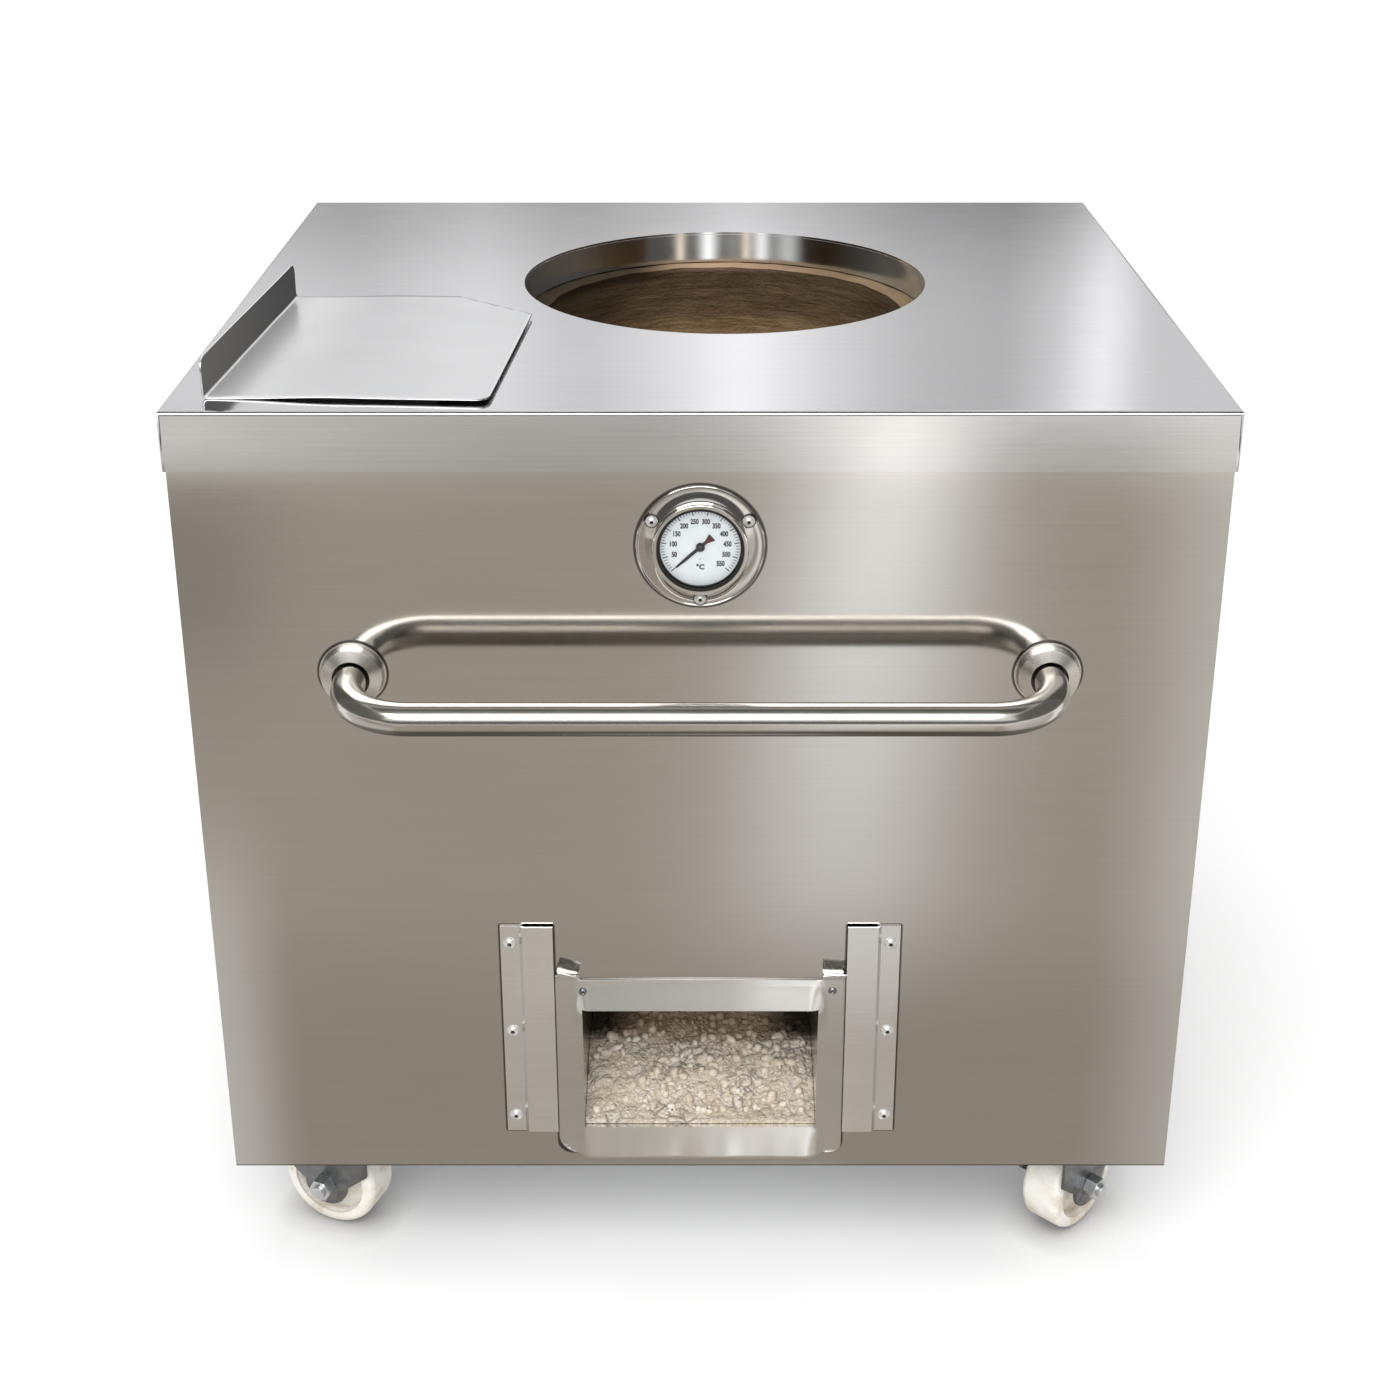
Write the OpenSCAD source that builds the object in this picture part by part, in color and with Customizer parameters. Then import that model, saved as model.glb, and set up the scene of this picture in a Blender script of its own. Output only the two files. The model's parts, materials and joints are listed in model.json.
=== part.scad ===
// Charcoal tandoor: a clay pot oven in a stainless steel cabinet on four casters.
// Millimetres. X runs across the front, Y from front to back, Z up from the floor.

/* [Cabinet] */
// Width of the top plate
body_w = 800; // [760:5:900]
// Depth of the top plate, front to back
body_d = 700; // [640:5:900]
// Height of the top plate above the floor
body_h = 781; // [765:1:900]
// Thickness of the top plate
top_t = 2; // [1.5:0.25:3]
// Height of the skirt folded down round the top plate
skirt_h = 47; // [30:1:50]
// Outside radius of the folds of the top plate
fold_r = 3.5; // [3:0.25:5]
// Clearance between the skirt and the panels
skirt_gap = 1; // [0.5:0.25:3]
// Thickness of the four panels
panel_t = 1.5; // [1:0.25:2.5]
// How far the panels hang below the frame
panel_hang = 5; // [3:0.5:10]
// Width of the hem folded in along the foot of each panel
hem_w = 15; // [8:1:25]

/* [Frame] */
// Leg of the angle iron in the base and the corner posts
angle_w = 30; // [20:1:32]
// Thickness of the angle iron and the caster bearers
angle_t = 4; // [3:0.5:6]
// Bearer left free behind the caster plates
bearer_margin = 20; // [10:1:60]
// Thickness of the base plate
base_t = 2; // [1:0.5:4]

/* [Mouth and pot] */
// Radius of the mouth
mouth_r = 180; // [160:1:190]
// Distance of the mouth to the right of the middle
mouth_x = 22; // [-40:1:60]
// Thickness of the collar under the mouth
collar_t = 2; // [1:0.5:4]
// Depth of the pot's lip below the top plate
lip_drop = 30; // [15:1:60]
// Lip of the pot outside the face of the collar
lip_over = 3; // [2:0.5:10]
// Thickness of the clay
pot_wall = 18; // [15:1:40]
// Outside radius of the pot at its belly
pot_belly_r = 285; // [250:1:300]
// How much narrower the pot's foot is than its belly, in radius
foot_taper = 23; // [15:1:30]
// Clearance between the pot's belly and the back panel
pot_clear = 25.5; // [22:0.5:40]
// Height of the belly above the foot
belly_rise = 200; // [150:5:300]
// Hearth slab showing round the foot of the pot
slab_margin = 12; // [5:1:20]
// Air gap between the insulation and the panels
fill_gap = 15; // [14:1:30]
// Top of the insulation below the lip
fill_drop = 45; // [30:1:80]

/* [Draft opening] */
// Width of the draft opening
draft_w = 195; // [150:1:205]
// Height of the draft opening
draft_h = 120.5; // [90:0.5:130]
// Height of the opening above the foot of the front panel
draft_sill = 41; // [36:1:80]
// Thickness of the tunnel sheet
tunnel_t = 1.5; // [1:0.25:2.5]
// Reach of the tunnel past the front of the pot's belly
tunnel_reach = 30; // [10:1:40]
// Flange above the opening
flange_top = 25.5; // [20:0.5:40]
// Flange below the opening
flange_foot = 29; // [18:0.5:34]
// Radius of the flange's lower corners
flange_corner = 12; // [3:1:18]
// Clearance between the flange and the rails
flange_play = 0.6; // [0.3:0.1:3]
// Width of the finger tabs
tab_w = 17.5; // [10:0.5:20]
// Length of the finger tabs
tab_len = 14; // [8:0.5:20]
// Lean of the finger tabs away from the panel
tab_lean = 58; // [30:1:80]
// Height of the ash at the front of the tunnel
ash_front = 4; // [1:0.5:10]
// Height of the ash in the middle of the pot
ash_heap = 50; // [30:1:70]
// Height of the ash at the pot's wall
ash_rim = 17; // [10:1:19]

/* [Shutter and rails] */
// Distance between the slot walls of the rails
slot_w = 292; // [285:1:310]
// Depth of the rail slots
slot_gap = 5; // [4.5:0.25:8]
// Overlap of the rails over the shutter
rail_lap = 26; // [15:0.5:27]
// Width of the screwed strip of a rail
rail_strip = 17; // [15:0.5:30]
// Length of the rails
rail_len = 201; // [160:1:260]
// Foot of the rails below the opening
rail_drop = 3; // [0:0.5:20]
// Thickness of the rails
rail_t = 1.5; // [1:0.25:2]
// Distance of the end screws from the ends of a rail
rail_screw_end = 16; // [10:1:40]
// Width of the shutter away from its lip
shutter_len = 214; // [150:1:225]
// Thickness of the shutter
shutter_t = 2; // [1:0.25:2.5]
// Height of the shutter's lip
shutter_lip = 31; // [15:1:45]
// Play of the shutter in each rail
shutter_play = 2; // [0.5:0.25:4]
// Corner cut off the shutter, measured away from the lip
shutter_cut_x = 70; // [10:1:90]
// Corner cut off the shutter, measured along the lip
shutter_cut_y = 52; // [10:1:90]
// Middle of the shutter on the top plate, in from the left edge
shutter_edge = 146; // [130:1:150]
// Middle of the shutter on the top plate, behind the front edge
shutter_setback = 168; // [165:1:200]
// Turn of the shutter on the top plate
shutter_turn = -2.4; // [-4:0.1:4]

/* [Thermometer] */
// Depth of the thermometer's centre below the top plate
gauge_drop = 107; // [102:1:140]
// Radius of the thermometer's flange
gauge_flange_r = 49; // [46:0.5:52]
// Thickness of the flange
gauge_flange_t = 3.2; // [2:0.2:5]
// Outside radius of the bezel
bezel_r = 36.5; // [34:0.5:38]
// Height of the bezel above the flange
bezel_h = 6.5; // [5:0.5:9]
// Depth of the case behind the panel
case_depth = 28; // [16:1:40]
// Reach of the probe into the pot
probe_tip = 8; // [2:1:40]
// Radius of the probe
probe_r = 4; // [3:0.25:6]
// Length of the needle from its pivot
needle_len = 25; // [15:0.5:26]
// Direction of the needle when cold, anticlockwise from the right
needle_rest = 222; // [200:1:260]

/* [Handle] */
// Depth of the handle below the top plate
handle_drop = 212.5; // [190:0.5:300]
// Distance between the handle's legs
handle_span = 536; // [400:1:640]
// Distance of the bar in front of the panel
handle_reach = 80; // [65:1:120]
// Radius of the tube
tube_r = 12.7; // [10:0.1:16]
// Wall of the tube
tube_wall = 1.5; // [1:0.25:2.5]
// Length of the handle's straight legs before the bends
leg_len = 27; // [18:1:35]
// Width of a rosette round the tube
rosette_w = 13.3; // [8:0.1:20]
// Height of the rosettes
rosette_h = 13; // [8:0.5:20]
// Gap between a rosette and the tube
rosette_gap = 1.75; // [0.5:0.25:3]

/* [Casters] */
// Height of a caster from the floor to the top of its plate
caster_h = 108; // [106:1:115]
// Distance of a kingpin from the side of the top plate
caster_side = 60; // [59:1:120]
// Distance of a kingpin from the front or back of the top plate
caster_end = 80; // [79:1:130]
// Turn of the front left caster
turn_front_left = -22; // [-180:1:180]
// Turn of the front right caster
turn_front_right = -133; // [-180:1:180]
// Turn of the rear left caster
turn_rear_left = -80; // [-180:1:180]
// Turn of the rear right caster
turn_rear_right = -104; // [-180:1:180]
// Diameter of the wheels
wheel_d = 90; // [70:1:91]
// Width of the wheels
wheel_w = 37; // [24:1:40]
// Trail of a wheel behind its kingpin
trail = 18; // [15:1:30]
// Radius of the axles and the kingpins
axle_r = 6; // [4:0.25:7]
// Width of the caster plates
caster_plate_w = 80; // [76:1:84]
// Depth of the caster plates
caster_plate_d = 105; // [96:1:110]
// Spacing of the caster bolts across
caster_bolt_x = 60; // [50:1:62]
// Spacing of the caster bolts front to back
caster_bolt_y = 80; // [70:1:81]
// Thickness of the fork
fork_t = 3; // [2:0.25:4]

/* [Fasteners and fits] */
// Radius of the rail screws
rail_screw_r = 2.5; // [1.5:0.25:3]
// Radius of the thermometer screws
gauge_screw_r = 2; // [1.5:0.25:2.25]
// Radius of the tunnel screws
tunnel_screw_r = 1.8; // [1.25:0.1:2.5]
// Radius of the handle bolts
handle_bolt_r = 5; // [3:0.5:6]
// Radius of the caster bolts
caster_bolt_r = 4; // [3:0.25:4.5]
// Radial clearance of turning pieces
run_fit = 0.05; // [0.02:0.01:0.1]
// Radial clearance of fixed fasteners
hole_fit = 0.1; // [0.05:0.05:0.4]
// Clearance round a piece that passes through another
pass_fit = 1; // [0.5:0.25:1.5]
// Clearance between faces that move past each other
face_gap = 0.3; // [0.2:0.05:0.5]

/* [Hidden] */
$fn = 64;
arc_fn = 1440;                      // for arcs of a large radius
cut = 1;                            // how far a cut runs past a face

panel_inset = top_t + skirt_gap;
handle_front = handle_reach + tube_r - panel_inset;
front_y = (handle_front - body_d) / 2;
back_y = front_y + body_d;
mid_y = front_y + body_d / 2;
panel_y = front_y + panel_inset;    // outer face of the front panel
side_x = body_w / 2 - panel_inset;
side_y = body_d / 2 - panel_inset;
in_x = side_x - panel_t;            // inner faces of the panels, from the middle
in_y = side_y - panel_t;
in_front = panel_y + panel_t;
plate_under = body_h - top_t;
panel_top = plate_under - skirt_gap;
panel_z = caster_h - panel_hang;
base_z = caster_h + angle_t;
slab_z = base_z + base_t;

sill_z = panel_z + draft_sill;
pot_z = sill_z - tunnel_t;          // the pot and the tunnel stand on the slab
lip_z = body_h - lip_drop;
belly_z = pot_z + belly_rise;
fill_z = lip_z - fill_drop;
pot_x = mouth_x;
pot_y = mid_y + in_y - pot_clear - pot_belly_r;
pot_neck_r = mouth_r + lip_over;
pot_foot_r = pot_belly_r - foot_taper;
slab_r = pot_foot_r + slab_margin;

// Radius of an arc that leaves a tangent by a sag over a rise
function arc_r(sag, rise) = (sag * sag + rise * rise) / (2 * sag);
upper_r = arc_r(pot_belly_r - pot_neck_r, lip_z - belly_z);
lower_r = arc_r(pot_belly_r - pot_foot_r, belly_z - pot_z);

// Inside radius of the pot at a height above its belly
function pot_in_r(z) = pot_belly_r - upper_r + sqrt(pow(upper_r - pot_wall, 2) - pow(z - belly_z, 2));

rail_in = slot_w / 2 - rail_lap;
rail_out = slot_w / 2 + rail_strip;
rail_z = sill_z - rail_drop;
rail_screw_x = (slot_w / 2 + rail_t + rail_out) / 2;
rail_screw_zs = [rail_z + rail_screw_end, rail_z + rail_len / 2, rail_z + rail_len - rail_screw_end];
rail_head_h = 3.6;
rail_nut_t = 4;
shutter_w = slot_w - 2 * shutter_play;
shutter_x = shutter_edge - body_w / 2;
shutter_round = 10;                 // radius of the shutter's other free corner
lip_round = 9;                      // radius of the lip's upper corners

flange_half = rail_in - flange_play;
flange_z = sill_z - flange_foot;
flange_top_z = sill_z + draft_h + flange_top;
tab_rise = 4;
tab_in = 2;                         // tabs in from the ends of the flange
tunnel_len = pot_y - pot_belly_r - panel_y + tunnel_reach;
tunnel_screw_left = 23;             // tunnel screws in from the ends and the top of the flange
tunnel_screw_right = 10.5;
tunnel_screw_drop = 10;
tunnel_screw_tip = 6;               // shank behind the panel
tunnel_screw_xs = [tunnel_screw_left - flange_half, flange_half - tunnel_screw_right];
tunnel_screw_z = flange_top_z - tunnel_screw_drop;
tunnel_head_h = 2;
tunnel_window_x = draft_w / 2 + tunnel_t + pass_fit;
tunnel_window_z = sill_z + draft_h + tunnel_t + pass_fit;
ash_side = 1;                       // ash clear of the tunnel and the pot

gauge_z = body_h - gauge_drop;
gauge_rim_t = 1.2;                  // flange at its outer edge
gauge_slope = 3;                    // width of the slope there
case_r = bezel_r - 3.5;
case_wall = 1;
case_front = gauge_flange_t + 1;
case_in = case_r - case_wall;
ledge_w = 3;                        // ledge in the case that carries the dial
ledge_t = 1;
dial_r = case_in - face_gap;
dial_t = 1;
dial_z = 0.5;                       // back of the dial in front of the panel
needle_z = dial_z + dial_t + face_gap;
needle_t = 0.7;
hub_r = 3.4;
hub_t = 1.6;
tail_len = 12;
tail_half = 3.4;
spindle_r = 1.2;
probe_len = pot_y - panel_y - pot_in_r(gauge_z) + probe_tip;
probe_wall = 0.9;
coil_in = 1.5;
coil_out = probe_r - probe_wall - face_gap;
coil_w = 1.2;
coil_len = 40;
coil_turns = 10;
coil_slices = 16;                   // for each turn
coil_z = probe_wall - probe_len;    // the coil stands on the inside of the probe's tip
spindle_z = coil_z + coil_len + face_gap;
glass_r = case_r - 2;
glass_t = 1.5;
glass_inset = 1.6;                  // glass below the front of the bezel
glass_z = gauge_flange_t + bezel_h - glass_inset - glass_t;
gasket_in = glass_r - 0.6;          // the gasket's ledge under the glass
bezel_round = (bezel_r - case_r - face_gap) / 2;
gauge_screw_ring = (bezel_r + gauge_flange_r - gauge_slope / 2) / 2;
gauge_screw_angles = [30, 150, 270];
gauge_screw_len = 12;
gauge_head_h = 3.2;

handle_z = body_h - handle_drop;
rosette_in = tube_r + rosette_gap;
rosette_out = tube_r + rosette_w;
rosette_rim = 1.6;                  // thin base ring against the panel
rosette_cone = 3.3;                 // rise of its face towards the tube
rosette_taper = 1.2;
bend_r = handle_reach - leg_len;    // along the middle of the tube
insert_gap = 5;                     // insert short of the bend
insert_len = leg_len - insert_gap;
washer_t = 2;
bolt_head_t = 6;

caster_plate_t = 3;
race_h = 7;
fork_crown_t = 3;
plate_z = caster_h - caster_plate_t;
crown_top = plate_z - race_h - face_gap;
crown_z = crown_top - fork_crown_t;
race_r = 27;
crown_r = 30;
king_head_over = 5;
king_head_t = 2.5;
wheel_r = wheel_d / 2;
tread_round = 6;
rim_t = 11;
web_t = 14;
hub_wall = 8;
wheel_hub_r = axle_r + hub_wall;
hub_over = 1;                       // hub proud of the tread on each side
fork_play = 1;
fork_in = wheel_w / 2 + hub_over + fork_play;
fork_out = fork_in + fork_t;
fork_back = 24;                     // crown behind the kingpin and past the axle
fork_front = 42;
fork_knee = 18;                     // legs have their full width this far over the axle
fork_foot = 15;                     // foot of the fork round the axle
fork_foot_r = axle_r + fork_foot;
axle_hex_r = axle_r * 1.75;
axle_head_t = 7;
axle_nut_t = 11;
axle_end = 4;
caster_head_t = 5.3;
weld_gap = 0.5;                     // between lengths of the frame
caster_x = body_w / 2 - caster_side;
caster_y = body_d / 2 - caster_end;
bearer_y = caster_y - caster_plate_d / 2 - bearer_margin;
caster_places = [[-caster_x, mid_y - caster_y], [caster_x, mid_y - caster_y],
                 [-caster_x, mid_y + caster_y], [caster_x, mid_y + caster_y]];
caster_turns = [turn_front_left, turn_front_right, turn_rear_left, turn_rear_right];
nut_sides = [-1, 1, -1, 1];         // which end of each axle carries the nut
front_left = 0;
front_right = 1;
rear_left = 2;
rear_right = 3;

steel = [0.58, 0.55, 0.51];
bright = [0.78, 0.78, 0.79];
zinc = [0.62, 0.64, 0.66];
clay = [0.55, 0.40, 0.28];
nylon = [0.88, 0.85, 0.78];

// Puts a piece on the front panel, its own X to the right, Y up and Z out of the panel
module on_front(x, z) {
    translate([x, panel_y, z]) rotate([90, 0, 0]) children();
}

// Repeats a piece of one quarter of the cabinet in all four, about its middle
module in_quarters() {
    for (x = [0, 1], y = [0, 1])
        translate([0, mid_y, 0]) mirror([x, 0, 0]) mirror([0, y, 0]) children();
}

// Repeats a piece of the back half of the cabinet in the front half
module front_and_back() {
    for (y = [0, 1])
        translate([0, mid_y, 0]) mirror([0, y, 0]) children();
}

// Box between two corners
module span(low, high) {
    translate(low) cube(high - low);
}

// Hole through the front panel, for a piece put there by on_front
module panel_hole(r) {
    translate([0, 0, -panel_t - cut]) cylinder(r = r, h = panel_t + 2 * cut);
}

// Rectangle about the origin with round corners
module rounded_rect(w, d, r) {
    square([w - 2 * r, d], center = true);
    square([w, d - 2 * r], center = true);
    for (x = [-1, 1], y = [-1, 1])
        translate([x * (w / 2 - r), y * (d / 2 - r)]) circle(r);
}

// Rectangle standing on the X axis with round upper corners
module arched_rect(w, h, r) {
    translate([-w / 2, 0]) square([w, h - r]);
    translate([r - w / 2, 0]) square([w - 2 * r, h]);
    for (x = [-1, 1])
        translate([x * (w / 2 - r), h - r]) circle(r);
}

// Section of the pot from its axis out, grown by a distance and run past its ends
module pot_region(grow, over) {
    intersection() {
        translate([pot_belly_r - upper_r, belly_z]) circle(upper_r + grow, $fn = arc_fn);
        translate([0, belly_z]) square([pot_belly_r + grow, lip_z - belly_z + over]);
    }
    intersection() {
        translate([pot_belly_r - lower_r, belly_z]) circle(lower_r + grow, $fn = arc_fn);
        translate([0, pot_z - over]) square([pot_belly_r + grow, belly_z - pot_z + over]);
    }
}

// Round-headed screw with its head on Z 0 and its shank below
module screw(shank_r, head_r, head_h, shank_len) {
    dome_r = arc_r(head_h, head_r);
    difference() {
        union() {
            rotate_extrude() intersection() {
                translate([0, head_h - dome_r]) circle(dome_r, $fn = arc_fn);
                square([head_r, head_h]);
            }
            translate([0, 0, -shank_len]) cylinder(r = shank_r, h = shank_len + head_h / 3);
        }
        translate([0, 0, head_h / 2]) cylinder(r = shank_r * 0.8, h = head_h, $fn = 6);
    }
}

// Way of the thermometer's probe from the panel into the pot
module probe_way() {
    on_front(0, gauge_z) translate([0, 0, panel_y - pot_y])
        cylinder(r = probe_r + pass_fit, h = pot_y - panel_y);
}

module hex_nut(bore_r, hex_r, h) {
    difference() {
        cylinder(r = hex_r, h = h, $fn = 6);
        translate([0, 0, -cut]) cylinder(r = bore_r, h = h + 2 * cut);
    }
}

module ring(inner, outer, h) {
    difference() {
        cylinder(r = outer, h = h);
        translate([0, 0, -cut]) cylinder(r = inner, h = h + 2 * cut);
    }
}

module gauge_screw_places() {
    on_front(0, gauge_z) for (a = gauge_screw_angles)
        rotate([0, 0, a]) translate([gauge_screw_ring, 0, 0]) children();
}

module rail_screw_places() {
    for (x = [-1, 1], z = rail_screw_zs)
        on_front(x * rail_screw_x, z) children();
}

module tunnel_screw_places() {
    for (x = tunnel_screw_xs)
        on_front(x, tunnel_screw_z) children();
}

module handle_places() {
    for (x = [-1, 1])
        on_front(x * handle_span / 2, handle_z) children();
}

module caster_bolt_places() {
    for (place = caster_places, x = [-1, 1], y = [-1, 1])
        translate([place.x + x * caster_bolt_x / 2, place.y + y * caster_bolt_y / 2, 0]) children();
}

// Own frame of a caster: origin under its kingpin, X towards the wheel
module in_caster(i) {
    translate([caster_places[i].x, caster_places[i].y, 0]) rotate([0, 0, caster_turns[i]]) children();
}

// Own frame of an axle: Z along it, towards the nut
module on_axle(i) {
    in_caster(i) translate([trail, 0, wheel_r]) rotate([-90 * nut_sides[i], 0, 0]) children();
}

// Cabinet

module top_plate() {
    color(bright) difference() {
        translate([0, mid_y, body_h - skirt_h]) intersection() {
            linear_extrude(skirt_h) rounded_rect(body_w, body_d, fold_r);
            rotate([90, 0, 0]) linear_extrude(body_d + 2 * cut, center = true)
                arched_rect(body_w, skirt_h, fold_r);
            rotate([90, 0, 90]) linear_extrude(body_w + 2 * cut, center = true)
                arched_rect(body_d, skirt_h, fold_r);
        }
        span([top_t - body_w / 2, front_y + top_t, body_h - skirt_h - cut],
             [body_w / 2 - top_t, back_y - top_t, plate_under]);
        translate([pot_x, pot_y, body_h - skirt_h]) cylinder(r = mouth_r, h = skirt_h + cut);
    }
}

module mouth_collar() {
    color(bright) translate([pot_x, pot_y, lip_z + face_gap])
        ring(mouth_r, mouth_r + collar_t, plate_under - lip_z - face_gap);
}

module front_panel() {
    color(steel) difference() {
        union() {
            span([-side_x, panel_y, panel_z], [side_x, in_front, panel_top]);
            span([-in_x, panel_y, panel_z], [in_x, in_front + hem_w, panel_z + panel_t]);
        }
        span([-tunnel_window_x, panel_y - cut, pot_z - pass_fit],
             [tunnel_window_x, in_front + cut, tunnel_window_z]);
        on_front(0, gauge_z) panel_hole(case_r + pass_fit);
        gauge_screw_places() panel_hole(gauge_screw_r + hole_fit);
        rail_screw_places() panel_hole(rail_screw_r + hole_fit);
        tunnel_screw_places() panel_hole(tunnel_screw_r + hole_fit);
        handle_places() panel_hole(handle_bolt_r + hole_fit);
    }
}

module back_panel() {
    color(steel) translate([0, mid_y, 0]) {
        span([-side_x, in_y, panel_z], [side_x, side_y, panel_top]);
        span([-in_x, in_y - hem_w, panel_z], [in_x, side_y, panel_z + panel_t]);
    }
}

module right_panel() {
    hem_end = in_y - hem_w - pass_fit;
    color(steel) translate([0, mid_y, 0]) {
        span([in_x, -in_y, panel_z], [side_x, in_y, panel_top]);
        span([in_x - hem_w, -hem_end, panel_z], [side_x, hem_end, panel_z + panel_t]);
    }
}

module left_panel() {
    mirror([1, 0, 0]) right_panel();
}

// Frame inside the panels

module corner_posts() {
    foot = caster_h + angle_w;
    color(zinc) in_quarters() translate([in_x, in_y, foot]) linear_extrude(plate_under - foot) {
        translate([-angle_w, -angle_t]) square([angle_w, angle_t]);
        translate([-angle_t, -angle_w]) square([angle_t, angle_w]);
    }
}

module base_angles() {
    side_end = bearer_y - weld_gap;
    color(zinc) {
        front_and_back() {
            span([-in_x, in_y - angle_w, caster_h], [in_x, in_y, base_z]);
            span([-in_x, in_y - angle_t, caster_h], [in_x, in_y, caster_h + angle_w]);
        }
        for (x = [0, 1])
            translate([0, mid_y, 0]) mirror([x, 0, 0]) {
                span([in_x - angle_w, -side_end, caster_h], [in_x, side_end, base_z]);
                span([in_x - angle_t, -side_end, caster_h], [in_x, side_end, caster_h + angle_w]);
            }
    }
}

module caster_bearers() {
    color(zinc) difference() {
        front_and_back()
            span([-in_x, bearer_y, caster_h], [in_x, in_y - angle_w - weld_gap, base_z]);
        caster_bolt_places() translate([0, 0, caster_h - cut])
            cylinder(r = caster_bolt_r + hole_fit, h = angle_t + 2 * cut);
    }
}

module base_plate() {
    color(zinc) translate([0, mid_y, 0])
        span([angle_t - in_x, angle_t - in_y, base_z], [in_x - angle_t, in_y - angle_t, slab_z]);
}

// Clay oven

module hearth_slab() {
    color([0.62, 0.56, 0.48]) translate([pot_x, pot_y, slab_z]) cylinder(r = slab_r, h = pot_z - slab_z);
}

module clay_pot() {
    color(clay) difference() {
        translate([pot_x, pot_y, 0]) rotate_extrude() difference() {
            pot_region(0, 0);
            pot_region(-pot_wall, cut);
        }
        span([-tunnel_window_x, pot_y - pot_belly_r - cut, pot_z - cut],
             [tunnel_window_x, pot_y, tunnel_window_z]);
        probe_way();
    }
}

module insulation_fill() {
    color([0.80, 0.77, 0.70]) difference() {
        translate([0, mid_y, 0])
            span([fill_gap - in_x, fill_gap - in_y, slab_z], [in_x - fill_gap, in_y - fill_gap, fill_z]);
        translate([pot_x, pot_y, 0]) rotate_extrude() pot_region(pass_fit, cut);
        translate([pot_x, pot_y, slab_z - cut]) cylinder(r = slab_r + pass_fit, h = pot_z - slab_z + cut);
        span([-tunnel_window_x, panel_y, pot_z - pass_fit],
             [tunnel_window_x, pot_y, tunnel_window_z]);
        on_front(0, gauge_z) translate([0, 0, -case_depth - pass_fit])
            cylinder(r = case_r + pass_fit, h = case_depth);
        probe_way();
    }
}

// Ash lying in the tunnel and heaped in the pot
module ash_bed() {
    heap_r = pot_foot_r - pot_wall - ash_side;
    bed_half = draft_w / 2 - ash_side;
    bed_front = panel_y + tunnel_t;
    bed_back = pot_y - heap_r / 2;
    ash_z = sill_z + face_gap;
    color([0.66, 0.58, 0.47]) union() {
        translate([pot_x, pot_y, pot_z]) rotate_extrude()
            polygon([[0, 0], [heap_r, 0], [heap_r, ash_rim], [0, ash_heap]]);
        translate([-bed_half, 0, 0]) rotate([90, 0, 90]) linear_extrude(2 * bed_half)
            polygon([[bed_front, ash_z], [bed_back, ash_z], [bed_back, pot_z + ash_rim],
                     [bed_front, ash_z + ash_front]]);
    }
}

// Draft tunnel, shutter and rails

module draft_tunnel() {
    height = flange_top_z - flange_z;
    color(steel) difference() {
        union() {
            on_front(0, flange_top_z) rotate([0, 0, 180]) linear_extrude(tunnel_t)
                arched_rect(2 * flange_half, height, flange_corner);
            span([-draft_w / 2 - tunnel_t, panel_y - tunnel_t, pot_z],
                 [draft_w / 2 + tunnel_t, panel_y + tunnel_len, sill_z + draft_h + tunnel_t]);
            for (x = [-1, 1])
                on_front(x * (flange_half - tab_in - tab_w / 2), flange_top_z) finger_tab();
        }
        span([-draft_w / 2, panel_y - tunnel_t - cut, sill_z],
             [draft_w / 2, panel_y + tunnel_len + cut, sill_z + draft_h]);
        tunnel_screw_places() translate([0, 0, -cut])
            cylinder(r = tunnel_screw_r + hole_fit, h = tunnel_t + 2 * cut);
    }
}

// Tab that rises from the flange and leans out for a finger
module finger_tab() {
    tip_y = tab_rise + tab_len * cos(tab_lean);
    tip_z = tab_len * sin(tab_lean);
    drop = tunnel_t * sin(tab_lean);
    inner_y = tab_rise - tunnel_t * tan(tab_lean / 2);
    translate([-tab_w / 2, 0, 0]) rotate([90, 0, 90]) linear_extrude(tab_w)
        polygon([[-tab_rise, 0], [tab_rise, 0], [tip_y, tip_z],
                 [tip_y - drop, tip_z + tunnel_t * cos(tab_lean)],
                 [inner_y, tunnel_t], [-tab_rise, tunnel_t]]);
}

module tunnel_screws() {
    color(zinc) tunnel_screw_places() translate([0, 0, tunnel_t])
        screw(tunnel_screw_r, tunnel_screw_r * 2, tunnel_head_h, tunnel_t + panel_t + tunnel_screw_tip);
}

module right_rail() {
    color(steel) difference() {
        translate([0, panel_y, rail_z]) linear_extrude(rail_len) mirror([0, 1]) {
            translate([rail_in, slot_gap]) square([rail_lap + rail_t, rail_t]);
            translate([slot_w / 2, 0]) square([rail_t, slot_gap + rail_t]);
            translate([slot_w / 2, 0]) square([rail_strip, rail_t]);
        }
        rail_screw_places() translate([0, 0, -cut])
            cylinder(r = rail_screw_r + hole_fit, h = rail_t + 2 * cut);
    }
}

module left_rail() {
    mirror([1, 0, 0]) right_rail();
}

module rail_screws() {
    color(zinc) rail_screw_places() translate([0, 0, rail_t])
        screw(rail_screw_r, rail_screw_r * 2.2, rail_head_h, rail_t + panel_t + rail_nut_t + cut);
}

module rail_nuts() {
    color(zinc) rail_screw_places() translate([0, 0, -panel_t - rail_nut_t])
        hex_nut(rail_screw_r + hole_fit, rail_screw_r * 1.85, rail_nut_t);
}

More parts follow.
